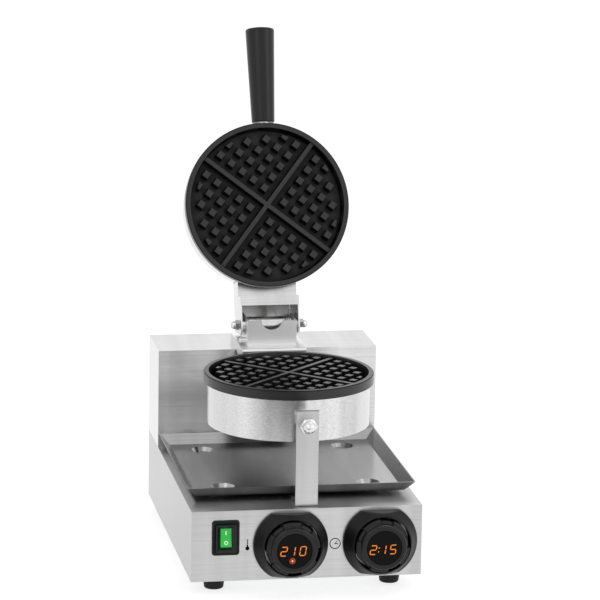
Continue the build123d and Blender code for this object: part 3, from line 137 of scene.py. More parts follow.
FINISHES: dict[str, Finish] = {
    Slot.BRUSHED.value: Finish((0.68, 0.68, 0.68), 1.0, 0.24, grain=Grain.ALONG_X, strength=0.03, bands=0.1),
    Slot.BRIGHT.value: Finish((0.72, 0.72, 0.72), 1.0, 0.23, grain=Grain.ALONG_X, strength=0.03, bands=0.16),
    Slot.ZINC.value: Finish((0.55, 0.56, 0.57), 1.0, 0.38),
    # The cast plates get painted shade in hollows up to 12 mm deep.
    Slot.CAST.value: Finish(
        (0.014, 0.014, 0.015), 0.0, 0.3, grain=Grain.CAST, strength=0.08, hollow_shade_depth=0.012, specular=0.5,
    ),
    Slot.BLACK.value: Finish((0.009, 0.009, 0.01), 0.0, 0.3, specular=0.32),
    Slot.SATIN.value: Finish((0.007, 0.007, 0.008), 0.0, 0.36, specular=0.2),
    Slot.WINDOW.value: Finish((0.003, 0.003, 0.0035), 0.0, 0.15, specular=0.1),
    Slot.ROCKER.value: Finish((0.01, 0.3, 0.04), 0.0, 0.3, glow=(0.02, 0.5, 0.05), glow_strength=0.6),
    Slot.RUBBER.value: Finish((0.01, 0.01, 0.01), 0.0, 0.6, specular=0.3),
    Slot.SLEEVE.value: Finish((0.9, 0.89, 0.86), 0.0, 0.7, grain=Grain.BRAID, strength=0.3),
    Slot.ALUMINIUM.value: Finish((0.7, 0.7, 0.7), 1.0, 0.35),
    Slot.BOARD.value: Finish((0.02, 0.16, 0.06), 0.0, 0.45),
    Slot.PALE.value: Finish((0.72, 0.7, 0.66), 0.0, 0.5),
}

# Finishes of single steel parts. Each has its own roughness and grain, and a colour set lighter or darker
# part by part to paint in the light and shade that the part gets: the bracket, arm and saddle light, the
# drip tray, base and post dark.
PAINTED_LIGHT_PART_FINISHES: dict[str, Finish] = {
    "hinge_bracket": Finish((0.86, 0.86, 0.86), 1.0, 0.5),
    "lid_arm": Finish((0.8, 0.8, 0.8), 1.0, 0.4),
    "pan_saddle": Finish((0.8, 0.8, 0.8), 1.0, 0.4),
    "drip_tray": Finish((0.38, 0.38, 0.38), 1.0, 0.2, grain=Grain.ALONG_X, strength=0.02, bands=0.08),
    "base_housing": Finish((0.54, 0.54, 0.54), 1.0, 0.36, grain=Grain.ALONG_X, strength=0.03, bands=0.07),
    "front_post": Finish((0.52, 0.52, 0.52), 1.0, 0.3, grain=Grain.ALONG_Z, strength=0.03, bands=0.07),
    "lower_shell": Finish((0.66, 0.66, 0.66), 1.0, 0.25, grain=Grain.ALONG_X, strength=0.03, bands=0.2),
}

DIGIT_GLOW = Finish((0.6, 0.16, 0.02), 0.0, 0.5, glow=(0.9, 0.24, 0.02), glow_strength=0.9)
LAMP_GLOW = Finish((0.9, 0.2, 0.02), 0.0, 0.5, glow=(1.0, 0.42, 0.16), glow_strength=1.2)
HALO_GLOW = Finish((0.2, 0.03, 0.005), 0.0, 0.5, glow=(1.0, 0.13, 0.01), glow_strength=0.16)
PRINT_BLACK = Finish((0.004, 0.004, 0.004), 0.0, 0.7, specular=0.05)
PRINT_WHITE = Finish((0.85, 0.87, 0.85), 0.0, 0.5, glow=(0.8, 0.9, 0.8), glow_strength=0.5)


FLOOR_WHITE = Finish((0.42, 0.42, 0.42), 0.0, 0.9, specular=0.0)
CARD_BLACK = Finish((0.01, 0.01, 0.01), 0.0, 0.9, specular=0.0)


class Tree:
    """A shader's nodes, with short ways to add and join them.

    Args:
        owner: the material or the world whose tree it is.
    """

    def __init__(self, owner: bpy.types.Material | bpy.types.World) -> None:
        """Takes hold of the owner's nodes and links."""
        self.nodes = owner.node_tree.nodes
        self.links = owner.node_tree.links

    def reckon(
        self, operation: str, first: bpy.types.NodeSocket, second: bpy.types.NodeSocket | float,
        clamp: bool = False,
    ) -> bpy.types.NodeSocket:
        """Adds a node that reckons with two values.

        Args:
            operation: what it does with them.
            first: the first value.
            second: the second one, from another node or a plain number.
            clamp: whether the result stays between 0 and 1.

        Returns:
            The result.
        """
        node = self.nodes.new("ShaderNodeMath")
        node.operation = operation
        node.use_clamp = clamp
        self.links.new(first, node.inputs[0])
        if isinstance(second, float):
            node.inputs[1].default_value = second
        else:
            self.links.new(second, node.inputs[1])
        return node.outputs["Value"]

    def spread(
        self, value: bpy.types.NodeSocket, source: Span, target: Span, kind: str = "LINEAR",
    ) -> bpy.types.NodeSocket:
        """Adds a node that carries one range of values over to another.

        Args:
            value: the value to carry over.
            source: the range it comes from.
            target: the range it goes to.
            kind: how it runs between the ends.

        Returns:
            The new value.
        """
        node = self.nodes.new("ShaderNodeMapRange")
        node.interpolation_type = kind
        for name, number in zip(("From Min", "From Max", "To Min", "To Max"), (*source, *target)):
            node.inputs[name].default_value = number
        self.links.new(value, node.inputs["Value"])
        return node.outputs["Result"]

    def noise(self, scale: Point, detail: float) -> bpy.types.NodeSocket:
        """Adds a noise that is fixed to the piece.

        Args:
            scale: how fine it is along each axis.
            detail: how many finer layers it has.

        Returns:
            The noise's value.
        """
        coords = self.nodes.new("ShaderNodeTexCoord")
        mapping = self.nodes.new("ShaderNodeMapping")
        mapping.inputs["Scale"].default_value = scale
        noise = self.nodes.new("ShaderNodeTexNoise")
        noise.inputs["Scale"].default_value = 1.0
        noise.inputs["Detail"].default_value = detail
        self.links.new(coords.outputs["Object"], mapping.inputs["Vector"])
        self.links.new(mapping.outputs["Vector"], noise.inputs["Vector"])
        return noise.outputs["Fac"]

    def shaded(self, color: Point, share: bpy.types.NodeSocket) -> bpy.types.NodeSocket:
        """Adds a node that darkens or lightens a colour.

        Args:
            color: the colour.
            share: how much of it is kept.

        Returns:
            The shaded colour.
        """
        tint = self.nodes.new("ShaderNodeVectorMath")
        tint.operation = "SCALE"
        tint.inputs[0].default_value = color
        self.links.new(share, tint.inputs["Scale"])
        return tint.outputs["Vector"]

    def seen(self) -> bpy.types.NodeSocket:
        """Tells whether a ray is one through which the background is seen.

        Returns:
            The value that is 1 for camera, glossy and transmission rays.
        """
        path = self.nodes.new("ShaderNodeLightPath")
        total = path.outputs["Is Camera Ray"]
        for name in ("Is Glossy Ray", "Is Transmission Ray"):
            total = self.reckon("ADD", total, path.outputs[name], clamp=True)
        return total


class MaterialShop:
    """Makes each material once and hands it out by name."""

    GRAIN_SCALES = {
        Grain.ALONG_X: (6.0, 900.0, 900.0),
        Grain.ALONG_Z: (900.0, 900.0, 6.0),
        Grain.CAST: (900.0, 900.0, 900.0),
        Grain.BRAID: (600.0, 600.0, 300.0),
    }
    GRAIN_DETAIL = 3.0
    GRAIN_DEPTH = 0.0004
    WIDE_BANDS = (40.0, 3.0, 0.8)
    FINE_LINES = (9.0, 900.0, 900.0)
    BAND_DETAIL = 2.0
    NOISE_RANGE = (0.32, 0.68)
    LIGHTEST = 1.08
    # Painted shade in hollows: occlusion samples, the occlusion range it works over, and the gloss left in
    # the deepest hollows.
    HOLLOW_SHADE_SAMPLES = 8
    OPEN_RANGE = (0.55, 0.98)
    SHADED_HOLLOW_SPECULAR = 0.16

    def __init__(self) -> None:
        """Starts with no material made."""
        self._made: dict[str, bpy.types.Material] = {}

    def get(self, name: str, finish: Finish) -> bpy.types.Material:
        """Gives the material of a finish.

        Args:
            name: the material's name.
            finish: its finish.

        Returns:
            The material.
        """
        if name not in self._made:
            self._made[name] = self._make(name, finish)
        return self._made[name]

    def _make(self, name: str, finish: Finish) -> bpy.types.Material:
        """Makes a material.

        Args:
            name: its name.
            finish: its finish.

        Returns:
            The material.
        """
        material = bpy.data.materials.new(name)
        material.use_nodes = True
        tree = Tree(material)
        shader = tree.nodes["Principled BSDF"]
        shader.inputs["Base Color"].default_value = (*finish.color, 1)
        shader.inputs["Metallic"].default_value = finish.metallic
        shader.inputs["Roughness"].default_value = finish.roughness
        shader.inputs["Specular IOR Level"].default_value = finish.specular
        if finish.glow is not None:
            shader.inputs["Emission Color"].default_value = (*finish.glow, 1)
            shader.inputs["Emission Strength"].default_value = finish.glow_strength
        if finish.grain is not Grain.NONE:
            self._grain(tree, shader, finish)
        if finish.bands > 0:
            self._bands(tree, shader, finish)
        # Painted shade in the hollows.
        if finish.hollow_shade_depth > 0:
            self._paint_hollow_shade(tree, shader, finish)
        return material

    def _paint_hollow_shade(self, tree: Tree, shader: bpy.types.ShaderNode, finish: Finish) -> None:
        """Paints shade into the hollows of a casting: ambient occlusion darkens their colour and dulls their
        gloss.

        Args:
            tree: the material's tree.
            shader: its surface shader.
            finish: the finish.
        """
        open_share = tree.nodes.new("ShaderNodeAmbientOcclusion")
        open_share.inputs["Distance"].default_value = finish.hollow_shade_depth
        open_share.samples = self.HOLLOW_SHADE_SAMPLES
        levels = (self.SHADED_HOLLOW_SPECULAR, finish.specular)
        gloss = tree.spread(open_share.outputs["AO"], self.OPEN_RANGE, levels)
        tree.links.new(gloss, shader.inputs["Specular IOR Level"])
        kept = tree.reckon("MULTIPLY", gloss, 1.0 / finish.specular)
        tree.links.new(tree.shaded(finish.color, kept), shader.inputs["Base Color"])

    def _bands(self, tree: Tree, shader: bpy.types.ShaderNode, finish: Finish) -> None:
        """Varies a brushed metal's tone in soft upright bands and, half as much, in fine lines.

        Args:
            tree: the material's tree.
            shader: its surface shader.
            finish: the finish.
        """
        wide = tree.noise(self.WIDE_BANDS, self.BAND_DETAIL)
        wide = tree.spread(wide, self.NOISE_RANGE, (1.0 - finish.bands, self.LIGHTEST))
        fine = tree.noise(self.FINE_LINES, self.BAND_DETAIL)
        fine = tree.spread(fine, self.NOISE_RANGE, (1.0 - finish.bands / 2, self.LIGHTEST))
        kept = tree.reckon("MULTIPLY", wide, fine)
        tree.links.new(tree.shaded(finish.color, kept), shader.inputs["Base Color"])

    def _grain(self, tree: Tree, shader: bpy.types.ShaderNode, finish: Finish) -> None:
        """Adds the fine texture of a finish as bump.

        Args:
            tree: the material's tree.
            shader: its surface shader.
            finish: the finish.
        """
        bump = tree.nodes.new("ShaderNodeBump")
        bump.inputs["Strength"].default_value = finish.strength
        bump.inputs["Distance"].default_value = self.GRAIN_DEPTH
        height = tree.noise(self.GRAIN_SCALES[finish.grain], self.GRAIN_DETAIL)
        tree.links.new(height, bump.inputs["Height"])
        tree.links.new(bump.outputs["Normal"], shader.inputs["Normal"])


SHOP = MaterialShop()


@dataclass(frozen=True)
class Flat:
    """A plane in the machine that is drawn on in millimetres: to the right, up and out to the front.

    Args:
        origin: its zero point: to the machine's right, behind the front panel and over the floor.
        tilt: degrees by which the plane leans about the X axis.
        pivot: how far before the plane the lean's axis lies.
    """

    origin: Point
    tilt: float = 0.0
    pivot: float = 0.0

    @property
    def matrix(self) -> Matrix:
        """Takes a point of the plane to the scene's metres."""
        x, y, z = self.origin
        place = Matrix.Translation((x, y - MIDDLE_Y - self.pivot, z))
        lean = Matrix.Rotation(math.radians(90.0 + self.tilt), 4, "X")
        return Matrix.Scale(MM, 4) @ place @ lean @ Matrix.Translation((0.0, 0.0, -self.pivot))


def finished(
    name: str, build: bmesh.types.BMesh, place: Matrix, material: str, finish: Finish,
    edge: float | None = None,
) -> bpy.types.Object:
    """Makes an object of a bmesh, with its faces turned out and its place in its mesh.

    Args:
        name: the object's name.
        build: the bmesh, which is freed.
        place: takes the bmesh's points to the scene's metres.
        material: the material's name.
        finish: its finish.
        edge: degrees past which an edge stays sharp and the rest is smooth, or None for flat faces.

    Returns:
        The new object, at the origin.
    """
    bmesh.ops.transform(build, matrix=place, verts=build.verts)
    bmesh.ops.recalc_face_normals(build, faces=build.faces)
    mesh = bpy.data.meshes.new(name)
    build.to_mesh(mesh)
    build.free()
    if edge is not None:
        for face in mesh.polygons:
            face.use_smooth = True
        mesh.set_sharp_from_angle(angle=math.radians(edge))
    mesh.materials.append(SHOP.get(material, finish))
    obj = bpy.data.objects.new(name, mesh)
    bpy.context.collection.objects.link(obj)
    return obj


def thicken(build: bmesh.types.BMesh, face: bmesh.types.BMFace, layer: Span) -> None:
    """Makes a slab of a face that lies at a layer's back.

    Args:
        build: the bmesh.
        face: the face.
        layer: where the slab starts and ends.
    """
    grown = bmesh.ops.extrude_face_region(build, geom=[face], use_keep_orig=True)["geom"]
    front = [item for item in grown if isinstance(item, bmesh.types.BMVert)]
    bmesh.ops.translate(build, verts=front, vec=(0.0, 0.0, layer[1] - layer[0]))


def add_slab(build: bmesh.types.BMesh, outline: Sequence[Spot], layer: Span) -> None:
    """Adds a slab with a drawn outline.

    Args:
        build: the bmesh.
        outline: its corners.
        layer: where the slab starts and ends.
    """
    thicken(build, build.faces.new([build.verts.new((u, v, layer[0])) for u, v in outline]), layer)


def add_disc(build: bmesh.types.BMesh, centre: Spot, radius: float, layer: Span, steps: int = 32) -> None:
    """Adds a round slab.

    Args:
        build: the bmesh.
        centre: its middle.
        radius: its radius.
        layer: where the slab starts and ends.
        steps: corners around.
    """
    place = Matrix.Translation((*centre, layer[0]))
    made = bmesh.ops.create_circle(build, cap_ends=True, segments=steps, radius=radius, matrix=place)
    thicken(build, made["verts"][0].link_faces[0], layer)


def add_ring(
    build: bmesh.types.BMesh, section: Sequence[Spot], steps: int, centre: Spot = (0.0, 0.0),
    closed: bool = True,
) -> None:
    """Turns a section once around an axis that points to the front.

    Args:
        build: the bmesh.
        section: its corners as radius and distance out.
        steps: corners around.
        centre: where the axis stands.
        closed: whether the section closes on itself.
    """
    verts = [build.verts.new((centre[0] + radius, centre[1], out)) for radius, out in section]
    edges = [build.edges.new(pair) for pair in zip(verts, verts[1:])]
    if closed:
        edges.append(build.edges.new((verts[-1], verts[0])))
    bmesh.ops.spin(
        build, geom=verts + edges, cent=(*centre, 0.0), axis=(0.0, 0.0, 1.0), angle=math.tau, steps=steps,
        use_merge=True,
    )


def hoop_section(inner: float, outer: float, layer: Span) -> list[Spot]:
    """The section of a flat ring.

    Args:
        inner: its inner radius.
        outer: its outer radius.
        layer: where the ring starts and ends.

    Returns:
        The section as radius and distance out.
    """
    low, high = layer
    return [(inner, low), (outer, low), (outer, high), (inner, high)]


@dataclass(frozen=True)
class Dial:
    """Raised collar and ring knob of one control.

    Args:
        name: the control's name.
        x: its axis, to the right of the panel's middle.
        first_arc: angle at which the first raised arc on the knob's shoulder starts.
        collar: the collar's section as radius and distance out, a cone with a rolled rim.
        collar_reach: half the height at which the collar is cut flat above and below.
        collar_steps: corners around the collar.
        knob: the knob's section between two arcs.
        knob_steps: corners around the knob.
        arcs: how many arcs there are.
        arc_angle: degrees that one arc covers.
        arc_ramp: degrees over which it rises and falls.
        arc_rise: how far an arc stands out of the shoulder.
        arc_growth: how much wider the knob is at an arc.
        side: radius past which the knob grows wider at an arc.
        shoulder: the distances out between which an arc rises.
    """

    name: str
    x: float
    first_arc: float
    collar: tuple[Spot, ...] = (
        (30.3, 0.0), (40.4, 0.0), (40.4, 3.4), (40.1, 4.2), (39.4, 5.0), (38.2, 6.6), (36.6, 8.9),
        (35.0, 11.3), (33.6, 13.6), (32.5, 15.4), (31.9, 16.3), (31.3, 16.8), (30.7, 16.7), (30.4, 16.2),
    )
    collar_reach: float = 34.6
    collar_steps: int = 120
    knob: tuple[Spot, ...] = (
        (18.9, 5.1), (27.9, 5.1), (27.9, 16.6), (27.3, 17.7), (26.3, 18.2), (25.3, 18.5), (24.7, 19.0),
        (24.5, 26.2), (24.1, 27.1), (23.3, 27.7), (22.4, 27.9), (20.2, 27.9), (19.2, 27.5), (18.9, 26.9),
    )
    knob_steps: int = 240
    arcs: int = 5
    arc_angle: float = 46.0
    arc_ramp: float = 3.0
    arc_rise: float = 3.2
    arc_growth: float = 1.1
    side: float = 26.0
    shoulder: Span = (16.0, 20.0)

    @property
    def flat(self) -> Flat:
        """The panel's plane with its zero point on the dial's axis."""
        return Flat((self.x, 0.0, BASE_Z + DIAL_HEIGHT))

    def arc_share(self, angle: float) -> float:
        """Tells how far an arc has risen.

        Args:
            angle: degrees around the knob.

        Returns:
            0 between two arcs and 1 on an arc.
        """
        past = (angle - self.first_arc) % (360.0 / self.arcs)
        return min(1.0, max(0.0, min(past, self.arc_angle - past) / self.arc_ramp))

    def make_collar(self) -> bpy.types.Object:
        """Makes the conical collar, cut flat above and below.

        Returns:
            The collar.
        """
        build = bmesh.new()
        add_ring(build, self.collar, self.collar_steps)
        for vert in build.verts:
            vert.co.y = max(-self.collar_reach, min(self.collar_reach, vert.co.y))
        slot = Slot.SATIN.value
        obj = finished(f"{self.name}_collar", build, self.flat.matrix, slot, FINISHES[slot], edge=32.0)
        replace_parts(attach(obj, "machine"), f"{self.name}_bezel")
        return obj

    def make_knob(self) -> bpy.types.Object:
        """Makes the knob, with its arcs raised out of the plain shoulder.

        Returns:
            The knob.
        """
        build = bmesh.new()
        add_ring(build, self.knob, self.knob_steps)
        low, high = self.shoulder
        for vert in build.verts:
            share = self.arc_share(math.degrees(math.atan2(vert.co.y, vert.co.x)))
            radius = vert.co.xy.length
            if radius > self.side:
                vert.co.xy *= (radius + self.arc_growth * share) / radius
            if low < vert.co.z < high:
                vert.co.z += self.arc_rise * share
        slot = Slot.BLACK.value
        obj = finished(f"{self.name}_grip", build, self.flat.matrix, slot, FINISHES[slot], edge=30.0)
        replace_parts(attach(obj, f"{self.name}_dial"), f"{self.name}_knob")
        return obj

    def build(self) -> list[bpy.types.Object]:
        """Makes both pieces and returns them."""
        return [self.make_collar(), self.make_knob()]


TEMPERATURE = Dial("temperature", x=-18.0, first_arc=71.0)
TIMER = Dial("timer", x=79.1, first_arc=95.0)


@dataclass(frozen=True)
class CapNut:
    """The front post's cap nut, whose hexagon stands proud of the dome.

    Args:
        corner_radius: the hexagon's corners from the axis.
        hexagon: how long the hexagon is.
        chamfer: the turned step between hexagon and dome, as radius and distance out.
        dome_radius: radius of the dome.
        dome_angles: degrees at which the dome's rings lie.
        steps: corners around the dome.
    """

    corner_radius: float = 9.81
    hexagon: float = 7.2
    chamfer: tuple[Spot, ...] = ((8.3, 7.2), (7.3, 7.9), (6.9, 8.1))
    dome_radius: float = 6.9
    dome_angles: tuple[float, ...] = (0.0, 15.0, 30.0, 45.0, 60.0, 72.0, 84.0)
    steps: int = 48

    def build(self) -> list[bpy.types.Object]:
        """Makes the nut and returns it."""
        low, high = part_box("post_cap_nut")
        middle = (low + high) / 2
        flat = Flat((middle.x / MM, high.y / MM + MIDDLE_Y, middle.z / MM))
        dome_base = (high.y - low.y) / MM - self.dome_radius
        build = bmesh.new()
        turns = [math.tau * i / 6 for i in range(6)]
        corners = [(self.corner_radius * math.cos(a), self.corner_radius * math.sin(a)) for a in turns]
        add_slab(build, corners, (0.0, self.hexagon))
        rises = [math.radians(angle) for angle in self.dome_angles]
        dome = [(self.dome_radius * math.cos(a), dome_base + self.dome_radius * math.sin(a)) for a in rises]
        add_ring(build, (*self.chamfer, *dome), self.steps, closed=False)
        bmesh.ops.holes_fill(build, edges=[edge for edge in build.edges if edge.is_boundary], sides=0)
        slot = Slot.BRIGHT.value
        obj = finished("post_dome_nut", build, flat.matrix, slot, FINISHES[slot], edge=28.0)
        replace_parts(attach(obj, "machine"), "post_cap_nut")
        return [obj]


@dataclass(frozen=True)
class LeadSleeve:
    """The white sleeve inside the lid's arm, from behind its cover down to the tube on the axle.

    Args:
        x: its middle, to the right of the machine's middle.
        arm_lean: degrees by which the open arm leans back.
        width: its width.
        thickness: its thickness.
        corner: how far its rounded sides reach in.
        route: its middle line as distances from the axle, up along the arm and out of it.
    """

    x: float = 4.2
    arm_lean: float = 18.0
    width: float = 12.4
    thickness: float = 5.0
    corner: float = 2.4
    route: tuple[Spot, ...] = (
        (40.0, -12.0), (34.0, -12.0), (21.0, -12.0), (17.0, -11.3), (13.5, -9.3), (10.4, -7.2),
        (7.75, -5.35),
    )

    def section(self) -> list[Point]:
        """The sleeve's flattened round section, across and deep."""
        inset = self.width / 2 - self.corner
        corners = []
        for side, start in ((1, -90.0), (-1, 90.0)):
            for step in range(7):
                a = math.radians(start + 30.0 * step)
                across = side * inset + self.corner * math.cos(a)
                corners.append((across, 0.0, self.thickness / 2 * math.sin(a)))
        return corners

    def stations(self) -> list[Matrix]:
        """The section's places along the route, each square to it."""
        last = len(self.route) - 1
        places = []
        for i, (along, out) in enumerate(self.route):
            before, after = self.route[max(i - 1, 0)], self.route[min(i + 1, last)]
            turn = math.atan2(after[1] - before[1], after[0] - before[0])
            places.append(Matrix.Translation((0.0, along, out)) @ Matrix.Rotation(turn, 4, "X"))
        return places

    def build(self) -> list[bpy.types.Object]:
        """Makes the sleeve, drawn out of its section station by station, and returns it."""
        low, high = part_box("spring_arbor")
        axle = (low + high) / (2 * MM)
        flat = Flat((self.x, axle.y + MIDDLE_Y, axle.z), tilt=-self.arm_lean)
        places = self.stations()
        build = bmesh.new()
        end = build.faces.new([build.verts.new(places[0] @ Vector(corner)) for corner in self.section()])
        for i, (before, after) in enumerate(zip(places, places[1:])):
            grown = bmesh.ops.extrude_face_region(build, geom=[end], use_keep_orig=True)["geom"]
            if i > 0:
                build.faces.remove(end)
            end = next(item for item in grown if isinstance(item, bmesh.types.BMFace))
            bmesh.ops.transform(build, matrix=after @ before.inverted(), verts=end.verts)
        slot = Slot.SLEEVE.value
        obj = finished("braided_sleeve", build, flat.matrix, slot, FINISHES[slot], edge=40.0)
        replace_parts(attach(obj, "lid"), "lead_sleeve")
        return [obj]


@dataclass(frozen=True)
class Digits:
    """Seven-segment figures on a display.

    Args:
        body: CAD body that carries them.
        flat: their plane.
        glyphs: each glyph with its left edge, or its middle for the colon.
        low: their lower edge.
        height: their height.
        width: their width.
        stroke: their stroke's width.
        gap: how far a segment ends before its corner.
        slant: degrees by which they lean to the right.
        dot_radius: radius of the colon's dots.
        dot_heights: the dots' places as shares of the height.
    """

    body: str
    flat: Flat
    glyphs: tuple[tuple[str, float], ...]
    low: float
    height: float = 10.6
    width: float = 7.0
    stroke: float = 0.95
    gap: float = 0.25
    slant: float = 9.0
    dot_radius: float = 0.65
    dot_heights: Span = (0.3, 0.7)

    LIT = {"0": "abcdef", "1": "bc", "2": "abged", "5": "afgcd"}

    def segment(self, name: str, left: float) -> list[Spot]:
        """One segment's six-cornered outline before the slant.

        Args:
            name: its letter.
            left: the figure's left edge.

        Returns:
            The outline.
        """
        t = self.stroke / 2
        right = left + self.width - t
        middle = self.low + self.height / 2
        top = self.low + self.height - t
        left, bottom = left + t, self.low + t
        rows = {"a": top, "g": middle, "d": bottom}
        if name in rows:
            v = rows[name]
            low, high = left + self.gap, right - self.gap
            upper = [(high, v), (high - t, v + t), (low + t, v + t)]
            return [(low, v), (low + t, v - t), (high - t, v - t), *upper]
        u = right if name in "bc" else left
        low, high = (middle, top) if name in "bf" else (bottom, middle)
        low, high = low + self.gap, high - self.gap
        outer = [(u, high), (u - t, high - t), (u - t, low + t)]
        return [(u, low), (u + t, low + t), (u + t, high - t), *outer]

    def build(self) -> list[bpy.types.Object]:
        """Makes the lit figures and returns them."""
        build = bmesh.new()
        for glyph, left in self.glyphs:
            if glyph == ":":
                for share in self.dot_heights:
                    centre = (left, self.low + share * self.height)
                    add_disc(build, centre, self.dot_radius, FIGURE_LAYER, 12)
                continue
            for name in self.LIT[glyph]:
                add_slab(build, self.segment(name, left), FIGURE_LAYER)
        lean = Matrix.Identity(4)
        lean[0][1] = math.tan(math.radians(self.slant))
        lean[0][3] = -lean[0][1] * (self.low + self.height / 2)
        obj = finished(f"{self.body}_digits", build, self.flat.matrix @ lean, "digit_glow", DIGIT_GLOW)
        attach(obj, self.body)
        return [obj]


@dataclass(frozen=True)
class Signs:
    """Printed signs of the panel and of the switch, and what the displays show.

    Args:
        panel: the panel's plane, zero at the middle of its lower edge.
        rocker: the rocker's plane.
        rocker_layer: where the rocker's signs start, sunk in it, and end.
        tube: the thermometer's place.
        tube_half: half the width of its tube.
        tube_ends: the tube's ends over and under that place.
        bulb_drop: how far the bulb lies under it.
        bulb_radius: the bulb's radius.
        marks: how many dots stand over the tube.
        mark_start: the first dot's height over the thermometer's place.
        mark_step: from dot to dot.
        mark_radius: a dot's radius.
        clock: the clock's middle.
        clock_radii: inner and outer radius of its ring.
        clock_hands: its hands' outlines around that middle.
        bar: outline of the sign for on.
        circle_drop: how far the sign for off lies under the rocker's middle.
        circle_radii: its inner and outer radius.
        lamp: the small lamp's place from the display's middle.
    """

    panel: Flat = Flat((0.0, 0.0, BASE_Z))
    rocker: Flat = Flat((-88.0, 0.0, BASE_Z + 48.0), tilt=-9.0, pivot=-1.5)
    rocker_layer: Span = (2.1, 3.0)
    tube: Spot = (-64.5, 39.3)
    tube_half: float = 0.75
    tube_ends: Span = (-3.0, 0.6)
    bulb_drop: float = 3.9
    bulb_radius: float = 2.2
    marks: int = 3
    mark_start: float = 1.9
    mark_step: float = 1.75
    mark_radius: float = 0.78
    clock: Spot = (30.5, 37.6)
    clock_radii: Span = (5.15, 6.15)
    clock_hands: tuple[tuple[Spot, ...], ...] = (
        ((-0.6, -0.5), (3.2, -0.9), (3.2, 0.1), (-0.6, 0.5)),
        ((-0.6, -0.1), (-0.1, -0.6), (2.5, 2.6), (2.0, 3.1)),
    )
    bar: tuple[Spot, ...] = ((-0.5, 3.2), (0.5, 3.2), (0.5, 7.4), (-0.5, 7.4))
    circle_drop: float = 5.4
    circle_radii: Span = (1.35, 2.1)
    lamp: Spot = (-2.3, -10.7)

    def thermometer(self) -> bpy.types.Object:
        """Lays the thermometer sign left of the first dial and returns it."""
        u, v = self.tube
        left, right = u - self.tube_half, u + self.tube_half
        low, high = (v + end for end in self.tube_ends)
        build = bmesh.new()
        add_slab(build, [(left, low), (right, low), (right, high), (left, high)], PRINT_LAYER)
        add_disc(build, (u, v - self.bulb_drop), self.bulb_radius, PRINT_LAYER)
        for i in range(self.marks):
            height = v + self.mark_start + self.mark_step * i
            add_disc(build, (u, height), self.mark_radius, PRINT_LAYER, 16)
        obj = finished("thermometer_sign", build, self.panel.matrix, "print_black", PRINT_BLACK)
        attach(obj, "machine")
        return obj

    def clock_sign(self) -> bpy.types.Object:
        """Lays the clock sign between the dials and returns it."""
        u, v = self.clock
        build = bmesh.new()
        add_ring(build, hoop_section(*self.clock_radii, PRINT_LAYER), 48, self.clock)
        for hand in self.clock_hands:
            add_slab(build, [(u + across, v + up) for across, up in hand], PRINT_LAYER)
        obj = finished("clock_sign", build, self.panel.matrix, "print_black", PRINT_BLACK)
        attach(obj, "machine")
        return obj

    def switch_signs(self) -> bpy.types.Object:
        """Lays the on and off signs on the rocker and returns them."""
        build = bmesh.new()
        add_slab(build, self.bar, self.rocker_layer)
        add_ring(build, hoop_section(*self.circle_radii, self.rocker_layer), 32, (0.0, -self.circle_drop))
        obj = finished("switch_signs", build, self.rocker.matrix, "print_white", PRINT_WHITE)
        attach(obj, "rocker")
        return obj

    def heat_lamp(self, flat: Flat) -> list[bpy.types.Object]:
        """Sets the small lamp and its halo under the temperature figures.

        Args:
            flat: the display's plane.

        Returns:
            The halo and the lamp.
        """
        pieces = []
        for name, radius, front, finish in (
            ("heat_lamp_halo", 3.4, 0.04, HALO_GLOW),
            ("heat_lamp", 0.9, 0.08, LAMP_GLOW),
        ):
            build = bmesh.new()
            add_disc(build, self.lamp, radius, (0.02, front))
            obj = finished(name, build, flat.matrix, name, finish)
            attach(obj, "temperature_display")
            pieces.append(obj)
        return pieces

    def build(self) -> list[bpy.types.Object]:
        """Lays every sign and returns them."""
        temperature = Flat((TEMPERATURE.x, DISPLAY_FACE, BASE_Z + DIAL_HEIGHT))
        timer = Flat((TIMER.x, DISPLAY_FACE, BASE_Z + DIAL_HEIGHT))
        pieces = [self.thermometer(), self.clock_sign(), self.switch_signs(), *self.heat_lamp(temperature)]
        heat_figures = (("2", -15.0), ("1", -6.4), ("0", 5.4))
        time_figures = (("2", -15.6), (":", -6.2), ("1", -5.4), ("5", 5.8))
        pieces += Digits("temperature_display", temperature, heat_figures, low=-5.3).build()
        pieces += Digits("timer_display", timer, time_figures, low=-7.0).build()
        return pieces


@dataclass(frozen=True)
class SoftLamp:
    """One soft studio light.

    Args:
        name: its name.
        place: where it is.
        target: where it points.
        size: its width and height.
        power: its power in watts.
    """

    name: str
    place: Point
    target: Point
    size: Spot
    power: float

    def build(self) -> None:
        """Hangs the light."""
        data = bpy.data.lights.new(self.name, "AREA")
        data.shape = "RECTANGLE"
        data.size, data.size_y = self.size
        data.energy = self.power
        obj = bpy.data.objects.new(self.name, data)
        direction = Vector(self.target) - Vector(self.place)
        turn = direction.to_track_quat("-Z", "Y").to_matrix().to_4x4()
        obj.matrix_world = Matrix.Translation(Vector(self.place)) @ turn
        bpy.context.collection.objects.link(obj)


